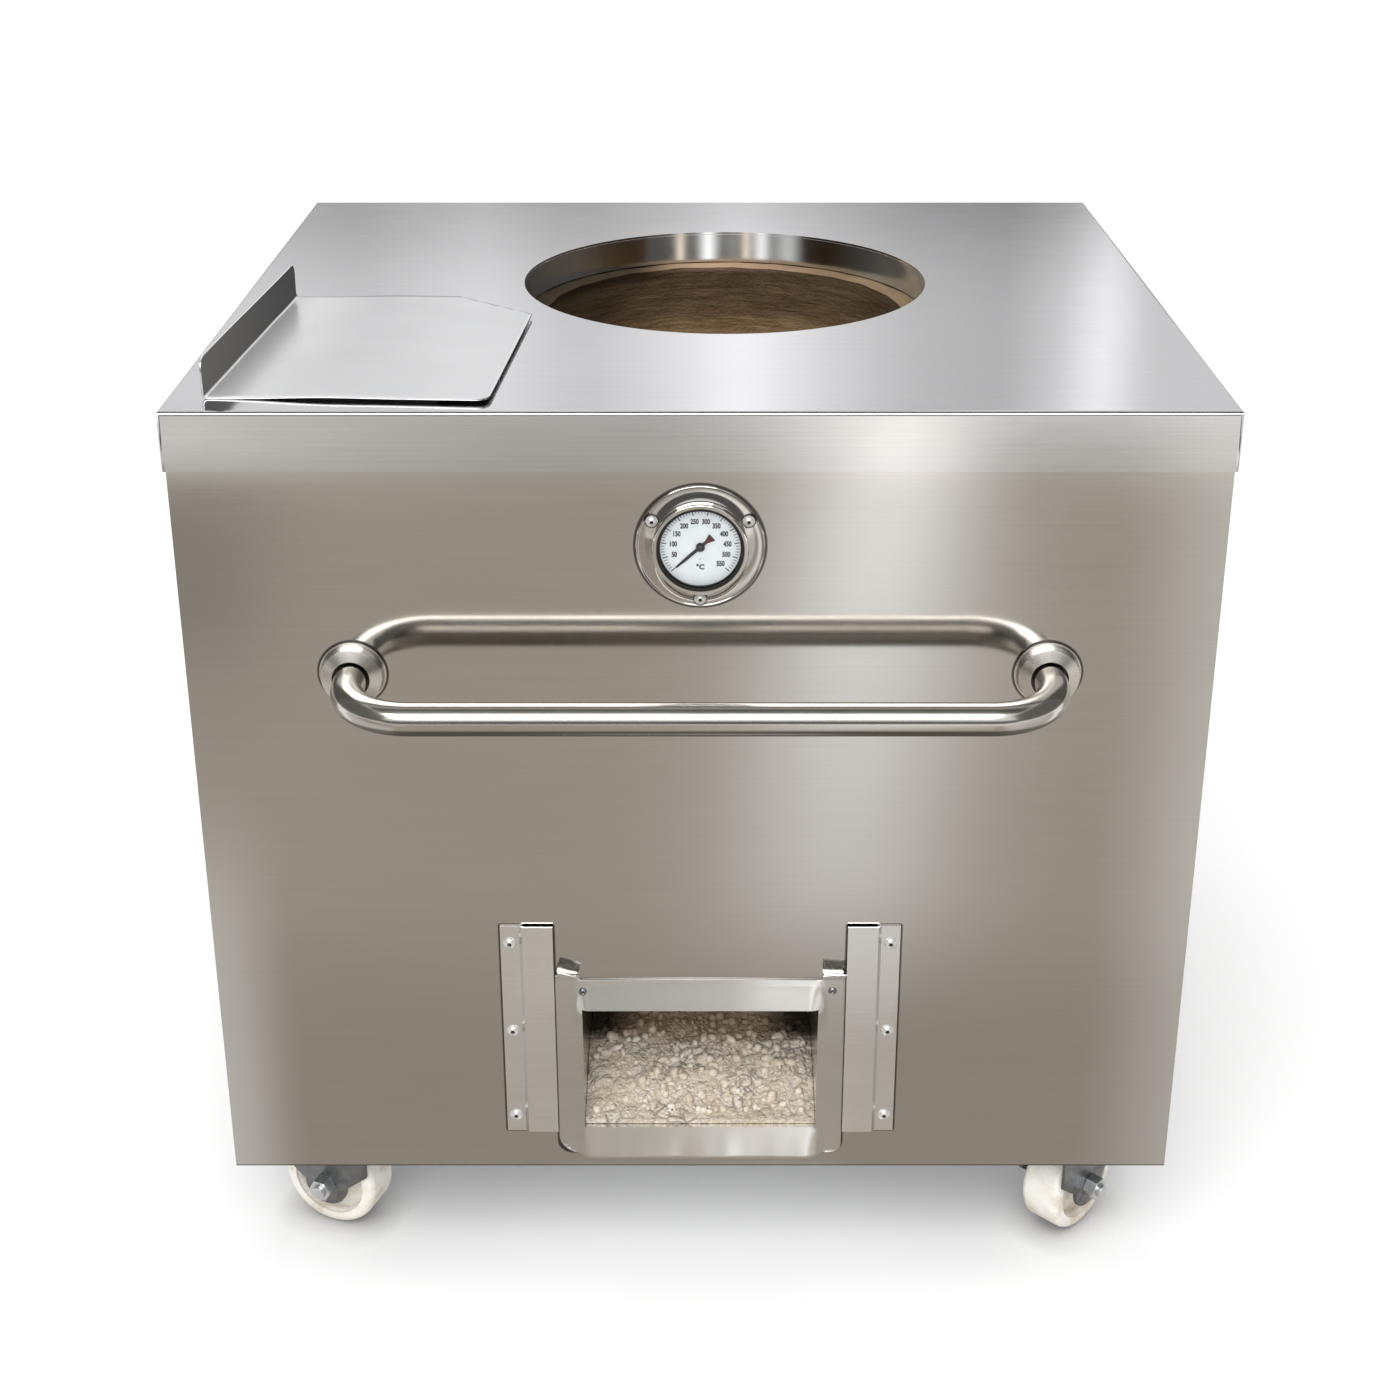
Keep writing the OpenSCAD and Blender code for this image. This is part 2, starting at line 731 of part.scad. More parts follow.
// Lifted out of the rails and laid on the top plate
module draft_shutter() {
    half = [shutter_len / 2, shutter_w / 2];
    color(bright) translate([shutter_x, front_y + shutter_setback, body_h])
        rotate([0, 0, shutter_turn]) {
            linear_extrude(shutter_t) difference() {
                square(2 * half, center = true);
                polygon([[half.x - shutter_cut_x, half.y], [half.x, half.y - shutter_cut_y],
                         [half.x + cut, half.y + cut]]);
                translate([half.x - shutter_round, -half.y]) difference() {
                    square(shutter_round + cut);
                    translate([0, shutter_round]) circle(shutter_round);
                    translate([0, shutter_round]) square(shutter_round + cut);
                }
            }
            translate([-half.x, 0, 0]) rotate([90, 0, 90]) linear_extrude(shutter_t)
                arched_rect(shutter_w, shutter_lip, lip_round);
        }
}

// Thermometer

module gauge_flange() {
    inner = case_r + face_gap;
    flat_r = gauge_flange_r - gauge_slope;
    color(bright) difference() {
        on_front(0, gauge_z) rotate_extrude()
            polygon([[inner, 0], [gauge_flange_r, 0], [gauge_flange_r, gauge_rim_t],
                     [flat_r, gauge_flange_t], [inner, gauge_flange_t]]);
        gauge_screw_places() translate([0, 0, -cut])
            cylinder(r = gauge_screw_r + hole_fit, h = gauge_flange_t + 2 * cut);
    }
}

module gauge_case() {
    color(zinc) on_front(0, gauge_z) {
        difference() {
            translate([0, 0, -case_depth]) cylinder(r = case_r, h = case_depth + case_front);
            translate([0, 0, case_wall - case_depth]) cylinder(r = case_in, h = case_depth + case_front);
            translate([0, 0, -case_depth - cut]) cylinder(r = spindle_r + run_fit, h = case_wall + 2 * cut);
        }
        translate([0, 0, dial_z - ledge_t]) ring(case_in - ledge_w, case_in + case_wall / 2, ledge_t);
    }
}

module gauge_bezel() {
    inner = case_r + face_gap;
    color(bright) on_front(0, gauge_z) translate([0, 0, gauge_flange_t]) rotate_extrude() {
        translate([inner, 0]) square([bezel_r - bezel_round - inner, bezel_h]);
        translate([inner, 0]) square([bezel_r - inner, bezel_h - bezel_round]);
        translate([bezel_r - bezel_round, bezel_h - bezel_round]) circle(bezel_round);
    }
}

// Black ring that stands on the case and holds the glass
module gauge_gasket() {
    front = gauge_flange_t + bezel_h - glass_inset / 2;
    glass_side = glass_r + hole_fit;
    color([0.06, 0.06, 0.06]) on_front(0, gauge_z) rotate_extrude()
        polygon([[gasket_in, case_front], [case_r, case_front], [case_r, front], [glass_side, front],
                 [glass_side, glass_z], [gasket_in, glass_z]]);
}

module gauge_dial() {
    color("white") on_front(0, gauge_z) translate([0, 0, dial_z])
        ring(spindle_r + run_fit, dial_r, dial_t);
}

module gauge_glass() {
    color([0.8, 0.85, 0.87, 0.3]) on_front(0, gauge_z) translate([0, 0, glass_z])
        cylinder(r = glass_r, h = glass_t);
}

module gauge_probe() {
    color(zinc) on_front(0, gauge_z) difference() {
        translate([0, 0, -probe_len]) cylinder(r = probe_r, h = probe_len - case_depth);
        translate([0, 0, coil_z]) cylinder(r = probe_r - probe_wall, h = probe_len);
    }
}

// Strip of two metals, wound in the tip of the probe
module gauge_coil() {
    color(zinc) on_front(0, gauge_z) translate([0, 0, coil_z])
        linear_extrude(coil_len, twist = 360 * coil_turns, slices = coil_turns * coil_slices, segments = 4)
            translate([coil_in, -coil_w / 2]) square([coil_out - coil_in, coil_w]);
}

module gauge_screws() {
    color(bright) gauge_screw_places() translate([0, 0, gauge_flange_t])
        screw(gauge_screw_r, gauge_screw_r * 2.4, gauge_head_h, gauge_screw_len);
}

// Needle with its spindle, which the coil in the probe turns
module gauge_needle() {
    waist = needle_len * 0.7;
    half_w = 1.3;
    waist_half = 1.1;
    tip_half = 0.5;
    tail_waist = 1.2;
    color([0.05, 0.05, 0.05]) on_front(0, gauge_z) union() {
        rotate([0, 0, needle_rest]) translate([0, 0, needle_z]) linear_extrude(needle_t)
            polygon([[0, half_w], [waist, waist_half], [needle_len, tip_half], [needle_len, -tip_half],
                     [waist, -waist_half], [0, -half_w], [-tail_len / 2, -tail_waist],
                     [-tail_len, -tail_half], [-tail_len, tail_half], [-tail_len / 2, tail_waist]]);
        translate([0, 0, needle_z]) cylinder(r = hub_r, h = hub_t);
        translate([0, 0, spindle_z]) cylinder(r = spindle_r, h = needle_z - spindle_z + hub_t / 2);
    }
}

// Handle

// Run of the handle from panel to panel, as a bar of a radius
module handle_run(r, over) {
    for (x = [0, 1])
        mirror([x, 0, 0]) translate([handle_span / 2, 0, 0]) {
            translate([0, 0, -over]) cylinder(r = r, h = leg_len + over);
            translate([-bend_r, 0, leg_len]) rotate([90, 0, 0])
                rotate_extrude(angle = 90) translate([bend_r, 0]) circle(r);
        }
    translate([0, 0, handle_reach]) rotate([0, 90, 0])
        cylinder(r = r, h = handle_span - 2 * bend_r, center = true);
}

module handle_bar() {
    color(bright) on_front(0, handle_z) difference() {
        handle_run(tube_r, 0);
        handle_run(tube_r - tube_wall, cut);
    }
}

module handle_rosettes() {
    body_r = rosette_out - rosette_taper;
    face_r = body_r - rosette_taper;
    color(bright) handle_places() rotate_extrude()
        polygon([[rosette_in, 0], [rosette_out, 0], [rosette_out, rosette_rim], [body_r, rosette_rim],
                 [face_r, rosette_h - rosette_cone], [rosette_in, rosette_h]]);
}

module handle_inserts() {
    color(zinc) handle_places() ring(handle_bolt_r + hole_fit, tube_r - tube_wall - hole_fit, insert_len);
}

module handle_bolts() {
    color(zinc) handle_places() {
        translate([0, 0, -panel_t - washer_t - bolt_head_t])
            cylinder(r = handle_bolt_r * 1.85, h = bolt_head_t, $fn = 6);
        translate([0, 0, -panel_t - washer_t]) cylinder(r = handle_bolt_r * 2.2, h = washer_t);
        translate([0, 0, -panel_t - washer_t])
            cylinder(r = handle_bolt_r, h = panel_t + washer_t + insert_len / 2);
    }
}

// Casters

module caster_plates() {
    color(zinc) difference() {
        for (place = caster_places)
            translate([place.x - caster_plate_w / 2, place.y - caster_plate_d / 2, plate_z])
                cube([caster_plate_w, caster_plate_d, caster_plate_t]);
        caster_bolt_places() translate([0, 0, plate_z - cut])
            cylinder(r = caster_bolt_r + hole_fit, h = caster_plate_t + 2 * cut);
    }
}

module caster_bolts() {
    color(zinc) caster_bolt_places() {
        translate([0, 0, plate_z - caster_head_t])
            cylinder(r = caster_bolt_r * 1.85, h = caster_head_t, $fn = 6);
        translate([0, 0, plate_z - cut]) cylinder(r = caster_bolt_r, h = base_z - face_gap - plate_z + cut);
    }
}

module kingpins() {
    head_z = crown_z - face_gap - king_head_t;
    color(zinc) for (i = [0:3])
        in_caster(i) {
            translate([0, 0, head_z]) cylinder(r = axle_r + king_head_over, h = king_head_t);
            translate([0, 0, head_z]) cylinder(r = axle_r, h = plate_z - head_z);
        }
}

module swivel_bearings() {
    color(zinc) for (i = [0:3])
        in_caster(i) translate([0, 0, crown_top + face_gap]) ring(axle_r + face_gap, race_r, race_h);
}

module fork_leg() {
    knee_z = wheel_r + fork_knee;
    polygon([[-fork_back, crown_top], [trail + fork_front, crown_top], [trail + fork_front, knee_z],
             [trail + fork_foot_r, wheel_r], [trail - fork_foot_r, wheel_r], [-fork_back, knee_z]]);
    translate([trail, wheel_r]) circle(fork_foot_r);
}

module fork(i) {
    color(zinc) in_caster(i) difference() {
        union() {
            translate([0, 0, crown_z]) cylinder(r = crown_r, h = fork_crown_t);
            span([-fork_back, -fork_out, crown_z], [trail + fork_front, fork_out, crown_top]);
            for (y = [-fork_in, fork_out])
                translate([0, y, 0]) rotate([90, 0, 0]) linear_extrude(fork_t) fork_leg();
        }
        translate([0, 0, crown_z - cut]) cylinder(r = axle_r + run_fit, h = fork_crown_t + 2 * cut);
        translate([trail, 0, wheel_r]) rotate([90, 0, 0])
            cylinder(r = axle_r + hole_fit, h = 2 * fork_out + 2 * cut, center = true);
    }
}

module wheel(i) {
    bore = axle_r + run_fit;
    hub_half = wheel_w / 2 + hub_over;
    color(nylon) on_axle(i) rotate_extrude() {
        translate([bore, -hub_half]) square([wheel_hub_r - bore, 2 * hub_half]);
        translate([bore, -web_t / 2]) square([wheel_r - rim_t / 2 - bore, web_t]);
        translate([wheel_r - rim_t, -wheel_w / 2]) square([rim_t - tread_round, wheel_w]);
        translate([wheel_r - rim_t, tread_round - wheel_w / 2]) square([rim_t, wheel_w - 2 * tread_round]);
        for (y = [-1, 1])
            translate([wheel_r - tread_round, y * (wheel_w / 2 - tread_round)]) circle(tread_round);
    }
}

module axle(i) {
    color(zinc) on_axle(i) {
        translate([0, 0, -fork_out - axle_head_t]) cylinder(r = axle_hex_r, h = axle_head_t, $fn = 6);
        translate([0, 0, -fork_out - cut])
            cylinder(r = axle_r, h = 2 * fork_out + cut + axle_nut_t + axle_end);
    }
}

module axle_nut(i) {
    color(zinc) on_axle(i) translate([0, 0, fork_out]) hex_nut(axle_r + hole_fit, axle_hex_r, axle_nut_t);
}

top_plate();
mouth_collar();
front_panel();
back_panel();
left_panel();
right_panel();
corner_posts();
base_angles();
caster_bearers();
base_plate();
hearth_slab();
clay_pot();
insulation_fill();
ash_bed();
draft_tunnel();
tunnel_screws();
left_rail();
right_rail();
rail_screws();
rail_nuts();
gauge_flange();
gauge_case();
gauge_bezel();
gauge_gasket();
gauge_dial();
gauge_glass();
gauge_probe();
gauge_coil();
gauge_screws();
gauge_needle();
handle_bar();
handle_rosettes();
handle_inserts();
handle_bolts();
caster_plates();
caster_bolts();
kingpins();
swivel_bearings();
draft_shutter();
fork(front_left);  // front_left_fork
wheel(front_left);  // front_left_wheel
axle(front_left);  // front_left_axle
axle_nut(front_left);  // front_left_nut
fork(front_right);  // front_right_fork
wheel(front_right);  // front_right_wheel
axle(front_right);  // front_right_axle
axle_nut(front_right);  // front_right_nut
fork(rear_left);  // rear_left_fork
wheel(rear_left);  // rear_left_wheel
axle(rear_left);  // rear_left_axle
axle_nut(rear_left);  // rear_left_nut
fork(rear_right);  // rear_right_fork
wheel(rear_right);  // rear_right_wheel
axle(rear_right);  // rear_right_axle
axle_nut(rear_right);  // rear_right_nut
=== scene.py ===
import json
import math
import random

import bmesh
import bpy
from mathutils import Matrix, Vector, noise


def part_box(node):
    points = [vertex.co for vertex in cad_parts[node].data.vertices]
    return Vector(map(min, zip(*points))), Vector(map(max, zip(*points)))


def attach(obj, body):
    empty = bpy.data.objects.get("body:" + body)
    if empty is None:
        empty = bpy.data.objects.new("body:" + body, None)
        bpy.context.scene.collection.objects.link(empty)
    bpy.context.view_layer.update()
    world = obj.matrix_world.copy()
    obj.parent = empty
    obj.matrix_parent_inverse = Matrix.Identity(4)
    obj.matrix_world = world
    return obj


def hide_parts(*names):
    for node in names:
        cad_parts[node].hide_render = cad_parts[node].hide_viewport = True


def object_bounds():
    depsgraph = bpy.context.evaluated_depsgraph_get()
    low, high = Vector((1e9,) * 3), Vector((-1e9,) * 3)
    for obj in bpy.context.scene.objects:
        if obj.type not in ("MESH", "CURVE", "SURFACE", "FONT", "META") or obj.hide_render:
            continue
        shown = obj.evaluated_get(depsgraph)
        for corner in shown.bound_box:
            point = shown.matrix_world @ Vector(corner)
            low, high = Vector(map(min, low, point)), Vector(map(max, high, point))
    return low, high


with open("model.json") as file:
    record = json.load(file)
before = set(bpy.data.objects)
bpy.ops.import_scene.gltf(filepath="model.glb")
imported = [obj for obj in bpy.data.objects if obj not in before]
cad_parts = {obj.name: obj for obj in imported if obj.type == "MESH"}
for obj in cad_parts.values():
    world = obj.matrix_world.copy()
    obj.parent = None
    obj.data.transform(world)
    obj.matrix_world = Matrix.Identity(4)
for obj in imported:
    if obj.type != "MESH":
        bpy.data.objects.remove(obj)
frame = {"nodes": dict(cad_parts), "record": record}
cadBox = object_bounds()
nodes = frame["nodes"]
scene = bpy.context.scene
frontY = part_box("top_plate")[0].y
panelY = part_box("front_panel")[0].y
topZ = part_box("top_plate")[1].z
potLow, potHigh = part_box("clay_pot")
potX, potY = (potLow.x + potHigh.x) / 2, (potLow.y + potHigh.y) / 2
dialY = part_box("gauge_dial")[0].y - 0.00006
gaugeZ = (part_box("gauge_dial")[0].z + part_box("gauge_dial")[1].z) / 2

# pieces whose sizes the finishes need too: metres, and degrees for turns
dial = {"radius": 0.0296, "from": 222, "step": 24, "marks": 12, "parts": 5, "long": 0.0040, "short": 0.0026,
        "number": 0.0056, "bold": 0.00028, "narrow": 0.72, "numberAt": 0.0206, "first": 50, "unit": 0.0056,
        "longWide": 0.0008, "shortWide": 0.00045, "unitAt": 0.0165, "dotAt": 0.0098, "dot": 0.0004,
        "cap": 0.0015, "capHigh": 0.0006, "capRound": 0.0004, "tailAt": (0.0032, 0.0038)}
shutter = {"long": 0.214, "wide": 0.288, "thick": 0.0015, "lip": 0.0309, "turn": -3.6, "fromLeft": 0.1455,
           "fromFront": 0.168, "cutLong": 0.070, "cutWide": 0.052, "corner": 0.010, "lipCorner": 0.009,
           "bend": 0.003, "lift": 0.0024, "liftFrom": 0.02, "liftTo": 0.5, "lipWaves": 0.0006,
           "sheetWaves": 0.0003, "cellsLong": 42, "cellsWide": 56, "lipCells": 6, "hemIn": 0.007,
           "hemThick": 0.0015, "hemShort": 0.02, "hemLong": 0.04, "hemClear": 0.0001, "hemInto": 0.0002}
draft = {"half": 0.1194, "foot": 0.1182, "head": 0.290, "gapHalf": 0.0975, "gapFoot": 0.144,
         "gapHead": 0.2645, "thick": 0.0015, "tunnel": 0.127, "leftCorner": 0.017, "rightCorner": 0.009,
         "dishTop": 0.0062, "dishFoot": 0.0071, "ripple": 0.0011, "tabRise": 0.003, "tabLong": 0.0135,
         "tabLean": 62, "tabFrom": 0.1015, "tabClear": 0.0005, "tabCells": 5, "tabCurl": 2.5,
         "tabTwists": ((-1, 20), (1, 3)), "xLines": (0, 7, 55, 62), "zLines": (0, 9, 37, 46),
         "dishIn": 0.003, "dishOut": 0.006, "dishFade": 0.02, "flatEdge": 0.002, "sag": 0.001,
         "crown": 0.0009, "tunnelBend": 0.03, "screwOut": 0.0016}
corners = ("front_left", "front_right", "rear_left", "rear_right")
print("frame loaded,", len(nodes), "nodes")


class Wire:  # a shader socket that can stand in a Python sum
    def __init__(self, socket):
        self.socket = socket

    def node(self, kind, settings=None, sockets=None, out=0):
        tree = self.socket.id_data
        made = tree.nodes.new(kind)
        for name, value in (settings or {}).items():
            if name == "stops":
                ramp = made.color_ramp.elements
                ramp.remove(ramp[1])
                ramp[0].position, ramp[0].color = value[0][0], (*value[0][1], 1)
                for at, colour in value[1:]:
                    ramp.new(at).color = (*colour, 1)
            else:
                setattr(made, name, value)
        for key, value in (sockets or {}).items():
            if isinstance(value, Wire):
                tree.links.new(value.socket, made.inputs[key])
            else:
                made.inputs[key].default_value = value
        return Wire(made.outputs[out])

    def math(self, operation, *values):
        return self.node("ShaderNodeMath", {"operation": operation}, dict(enumerate(values)))

    def __add__(self, other):
        return self.math("ADD", self, other)

    def __radd__(self, other):
        return self.math("ADD", other, self)

    def __sub__(self, other):
        return self.math("SUBTRACT", self, other)

    def __rsub__(self, other):
        return self.math("SUBTRACT", other, self)

    def __mul__(self, other):
        return self.math("MULTIPLY", self, other)

    def __rmul__(self, other):
        return self.math("MULTIPLY", other, self)

    def __pow__(self, other):
        return self.math("POWER", self, other)

    def __abs__(self):
        return self.math("ABSOLUTE", self)


def startFinish(name):
    made = bpy.data.materials.new(name)
    made.use_nodes = True
    made.node_tree.nodes.clear()
    out = made.node_tree.nodes.new("ShaderNodeOutputMaterial")
    place = made.node_tree.nodes.new("ShaderNodeTexCoord")
    return made, out, Wire(place.outputs["Object"])


def closeFinish(out, shader):
    out.id_data.links.new(shader.socket, out.inputs["Surface"])


def split(place):
    return [place.node("ShaderNodeSeparateXYZ", {}, {0: place}, out=i) for i in range(3)]


def join(x, y, z):
    wire = next(v for v in (x, y, z) if isinstance(v, Wire))
    return wire.node("ShaderNodeCombineXYZ", {}, {0: x, 1: y, 2: z})


def stretched(place, x, y, z):
    return place.node("ShaderNodeMapping", {}, {"Vector": place, "Scale": (x, y, z)})


def grainNoise(place, scale, detail=3.0, rough=0.55):
    return place.node("ShaderNodeTexNoise", {}, {"Vector": place, "Scale": scale, "Detail": detail,
                                                 "Roughness": rough})


def ease(value, low, high):  # 0 below low, 1 above high
    return value.node("ShaderNodeMapRange", {"interpolation_type": "SMOOTHSTEP"},
                      {"Value": value, "From Min": low, "From Max": high})


def blendColour(mask, first, second, kind="MIX"):
    pair = {6: first, 7: second}
    pair = {k: v if isinstance(v, Wire) else (*v, 1) for k, v in pair.items()}
    return mask.node("ShaderNodeMix", {"data_type": "RGBA", "blend_type": kind}, {0: mask, **pair}, out=2)


def shade(place, colour, rough, height=None, depth=0.001, strength=1.0, **fixed):
    sockets = {"Base Color": colour if isinstance(colour, Wire) else (*colour, 1), "Roughness": rough}
    sockets.update({key.replace("_", " "): value for key, value in fixed.items()})
    if height is not None:
        sockets["Normal"] = place.node("ShaderNodeBump", {}, {"Height": height, "Distance": depth,
                                                              "Strength": strength})
    return place.node("ShaderNodeBsdfPrincipled", {}, sockets)


# finishes

steelPlain = {"lines": 500, "grain": 0.03, "cloud": 0.06, "lift": 0.2}  # where a look says nothing else
steelLooks = {
    "top_steel": {"tint": (0.66, 0.655, 0.665), "rough": 0.12, "lines": 620, "grain": 0.09, "cloud": 0.08,
                  "lift": 0.4},
    "panel_steel": {"tint": (0.62, 0.60, 0.57), "rough": 0.10, "lines": 620, "grain": 0.05, "lift": 0.25,
                    "outlineShadeTo": 0.0024},
    "shutter_steel": {"tint": (0.80, 0.81, 0.83), "rough": 0.25, "lines": 620, "grain": 0.04, "lift": 0.3,
                      "dullAndShadedLip": 0.96},
    "rail_steel": {"tint": (0.92, 0.90, 0.87), "rough": 0.26, "grain": 0.06, "cloud": 0.26, "lift": 0.3,
                   "step": 0.6},
    "frame_steel": {"tint": (0.75, 0.735, 0.71), "rough": 0.18, "grain": 0.05, "cloud": 0.12, "lift": 0.3,
                    "stripHighlight": 1.0},
    "handle_steel": {"tint": (0.60, 0.575, 0.535), "rough": 0.19, "lift": 0.15, "under": 0.85},
    "rosette_steel": {"tint": (0.66, 0.63, 0.585), "rough": 0.27, "grain": 0.05, "cloud": 0.10},
    "gauge_steel": {"tint": (0.56, 0.535, 0.51), "rough": 0.09, "lift": 0.1},
    "screw_steel": {"tint": (0.62, 0.61, 0.585), "rough": 0.30, "cloud": 0.08, "lift": 0.1, "metal": 0.45},
    "polished_steel": {"tint": (0.72, 0.70, 0.665), "rough": 0.055, "grain": 0.02, "cloud": 0.05,
                       "lift": 0.05},
    "collar_steel": {"tint": (0.64, 0.65, 0.66), "rough": 0.14, "lines": 620, "grain": 0.06, "cloud": 0.10,
                     "drawn": 0.5},
}
# painted shade colours: the lip's face, the bar's underside, dark lines round parts on the front, and a
# rail's sloping step
shadeColours = {"lipShadeBack": (0.016, 0.015, 0.013), "lipShadeFront": (0.095, 0.09, 0.083), "barShade": (0.10, 0.092, 0.08),
         "corners": (0.035, 0.030, 0.025), "step": (0.28, 0.27, 0.25)}
# where the shutter's dust lies, and where the painted highlights, painted shade and painted reflection tint
# of the metal lie
dustAndPaintedLight = {"stripHighlight": (1.0, 0.99, 0.97), "sideReflectionTint": (0.60, 0.66, 0.72), "edgeHighlight": (0.95, 0.95, 0.95),
        "dustFrom": 0.004, "dustTo": 0.085, "footTo": (0.144, 0.147), "footRight": (-0.06, 0.03),
        "headFrom": (0.262, 0.266), "headRight": (0.02, 0.06), "sideReflectionTintOut": (0.10, 0.15), "outlineShadeFrom": 0.0009,
        "lowerEdge": (0.0004, 0.0016), "railCorner": 0.0005, "frameCorner": 0.011}


def besideBox(x, z, low, high, r):  # how far a spot on the front is from a rounded rectangle
    sides = abs(x - (low.x + high.x) / 2) - ((high.x - low.x) / 2 - r)
    ends = abs(z - (low.z + high.z) / 2) - ((high.z - low.z) / 2 - r)
    return (sides.math("MAXIMUM", sides, 0) ** 2 + ends.math("MAXIMUM", ends, 0) ** 2) ** 0.5 - r


def besideParts(x, z):
    draftBox = Vector((-draft["half"], 0, draft["foot"])), Vector((draft["half"], 0, draft["head"]))
    spots = [besideBox(x, z, *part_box(rail), dustAndPaintedLight["railCorner"]) for rail in ("left_rail", "right_rail")]
    spots.append(besideBox(x, z, *draftBox, dustAndPaintedLight["frameCorner"]))
    low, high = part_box("gauge_flange")
    spots.append(besideBox(x, z, low, high, (high.x - low.x) / 2))
    low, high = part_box("handle_rosettes")
    r = (high.z - low.z) / 2
    spots.append(besideBox(abs(x), z, Vector((high.x - 2 * r, 0, low.z)), high, r))
    near = spots[0]
    for spot in spots[1:]:
        near = near.math("MINIMUM", near, spot)
    return near


def brushedSteel(name, look):
    made, out, place = startFinish(name)
    x, y, z = split(place)
    nx, ny, nz = split(place.node("ShaderNodeNewGeometry", {}, {}, out="Normal"))
    flat = ease(abs(nz), 0.65, 0.75)
    side = ease(abs(nx), 0.65, 0.75)
    across = z * (1 - flat) + y * flat       # the grain runs level on every face
    along = x * (1 - side) + y * side
    lines = grainNoise(join(along * 5, across * look["lines"], flat * 7 + side * 3), 1, 2.0, 0.6)
    scuffs = grainNoise(join(along * 14, across * 95, flat * 5 + side * 2), 1, 3.0, 0.6)
    clouds = grainNoise(stretched(place, 1.0, 1.0, 1.6), 4.2, 3.0, 0.5)
    wiped = grainNoise(stretched(place, 1.0, 1.0, 2.2), 17, 3.0, 0.6)
    tint = look["tint"]
    level = (lines - 0.5) * look["grain"] + (clouds - 0.5) * look["cloud"]
    level = level + (scuffs - 0.5) * look["grain"] * 0.5
    low, high = [c * 0.62 for c in tint], [min(1, c * 1.38) for c in tint]
    span = high[0] - low[0]
    colour = blendColour((tint[0] - low[0]) / span + level * (1.52 * tint[0] / span), low, high)
    rough = look["rough"] + (clouds - 0.5) * 0.04 + (wiped - 0.5) * 0.05 + (scuffs - 0.5) * 0.03
    metal = look.get("metal", 1.0)
    if "dullAndShadedLip" in look:  # painted shade on the face of the upturned lip, and a dusty sheet beside it
        shadedLip = ease(nx, 0.6, 0.85) * look["dullAndShadedLip"]
        # the lip's painted shade runs from near black at the back to dark grey at the front
        stain = blendColour(ease(y, 0.0, -0.27), shadeColours["lipShadeBack"], shadeColours["lipShadeFront"])
        colour = blendColour(shadedLip, colour, stain)
        rough = rough + shadedLip * 0.4
        lean = math.tan(math.radians(-shutter["turn"]))
        foot = cadBox[0].x + shutter["fromLeft"] - shutter["long"] / 2
        fromLip = x - y * lean - (foot - (frontY + shutter["fromFront"]) * lean)
        dusty = (1 - ease(fromLip, dustAndPaintedLight["dustFrom"], dustAndPaintedLight["dustTo"])) * ease(nz, 0.7, 0.9)
        metal = 0.98 - shadedLip - dusty * 0.48
    if "under" in look:  # painted shade on the bar's underside and on its side that faces the panel
        shadedUnder = ease(nz, -0.22, -0.42) * look["under"]
        shadedUnder = shadedUnder.math("MAXIMUM", shadedUnder, ease(ny, 0.5, 0.85) * 0.45)
        colour = blendColour(shadedUnder, colour, shadeColours["barShade"])
        rough = rough + shadedUnder * 0.1
    if "outlineShadeTo" in look:  # painted shade: dark lines round what stands on the front, and along the lower edge
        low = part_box("front_panel")[0].z
        dirt = (1 - ease(besideParts(x, z), dustAndPaintedLight["outlineShadeFrom"], look["outlineShadeTo"])) * ease(ny, -0.7, -0.9)
        dirt = dirt.math("MAXIMUM", dirt, 1 - ease(z, *(low + up for up in dustAndPaintedLight["lowerEdge"])))
        colour = blendColour(dirt * 0.85, colour, shadeColours["corners"])
    if "stripHighlight" in look:  # painted highlight on the dished strips over and under the mouth
        foot = ease(nz, 0.10, 0.20) * (1 - ease(z, *dustAndPaintedLight["footTo"]))
        foot = foot * (0.35 + 0.65 * ease(x, *dustAndPaintedLight["footRight"]))
        head = ease(nz, 0.06, 0.14) * ease(z, *dustAndPaintedLight["headFrom"]) * ease(x, *dustAndPaintedLight["headRight"]) * 0.8
        colour = blendColour((foot + head) * look["stripHighlight"], colour, dustAndPaintedLight["stripHighlight"])
    if "step" in look:  # painted shade along the sloping step of a rail
        colour = blendColour(ease(abs(nx), 0.25, 0.45) * look["step"], colour, shadeColours["step"])
    if "drawn" in look:  # painted highlight on the collar's cut edge, and its sides painted a cool grey that stands in for a neutral reflection
        edge = ease(nz, 0.3, 0.5)
        sideReflectionTint = ease(abs(x - potX), *dustAndPaintedLight["sideReflectionTintOut"])
        colour = blendColour(sideReflectionTint, colour, dustAndPaintedLight["sideReflectionTint"])
        colour = blendColour(edge, colour, dustAndPaintedLight["edgeHighlight"])
        metal = 1 - sideReflectionTint * 0.07 - edge * 0.6
    turned = {"Anisotropic": look["drawn"], "Anisotropic_Rotation": 0.25} if "drawn" in look else {}
    closeFinish(out, shade(place, colour, rough, lines * 0.7 + scuffs * 0.5, 0.00001, look["lift"],
                           Metallic=metal, **turned))
    return made


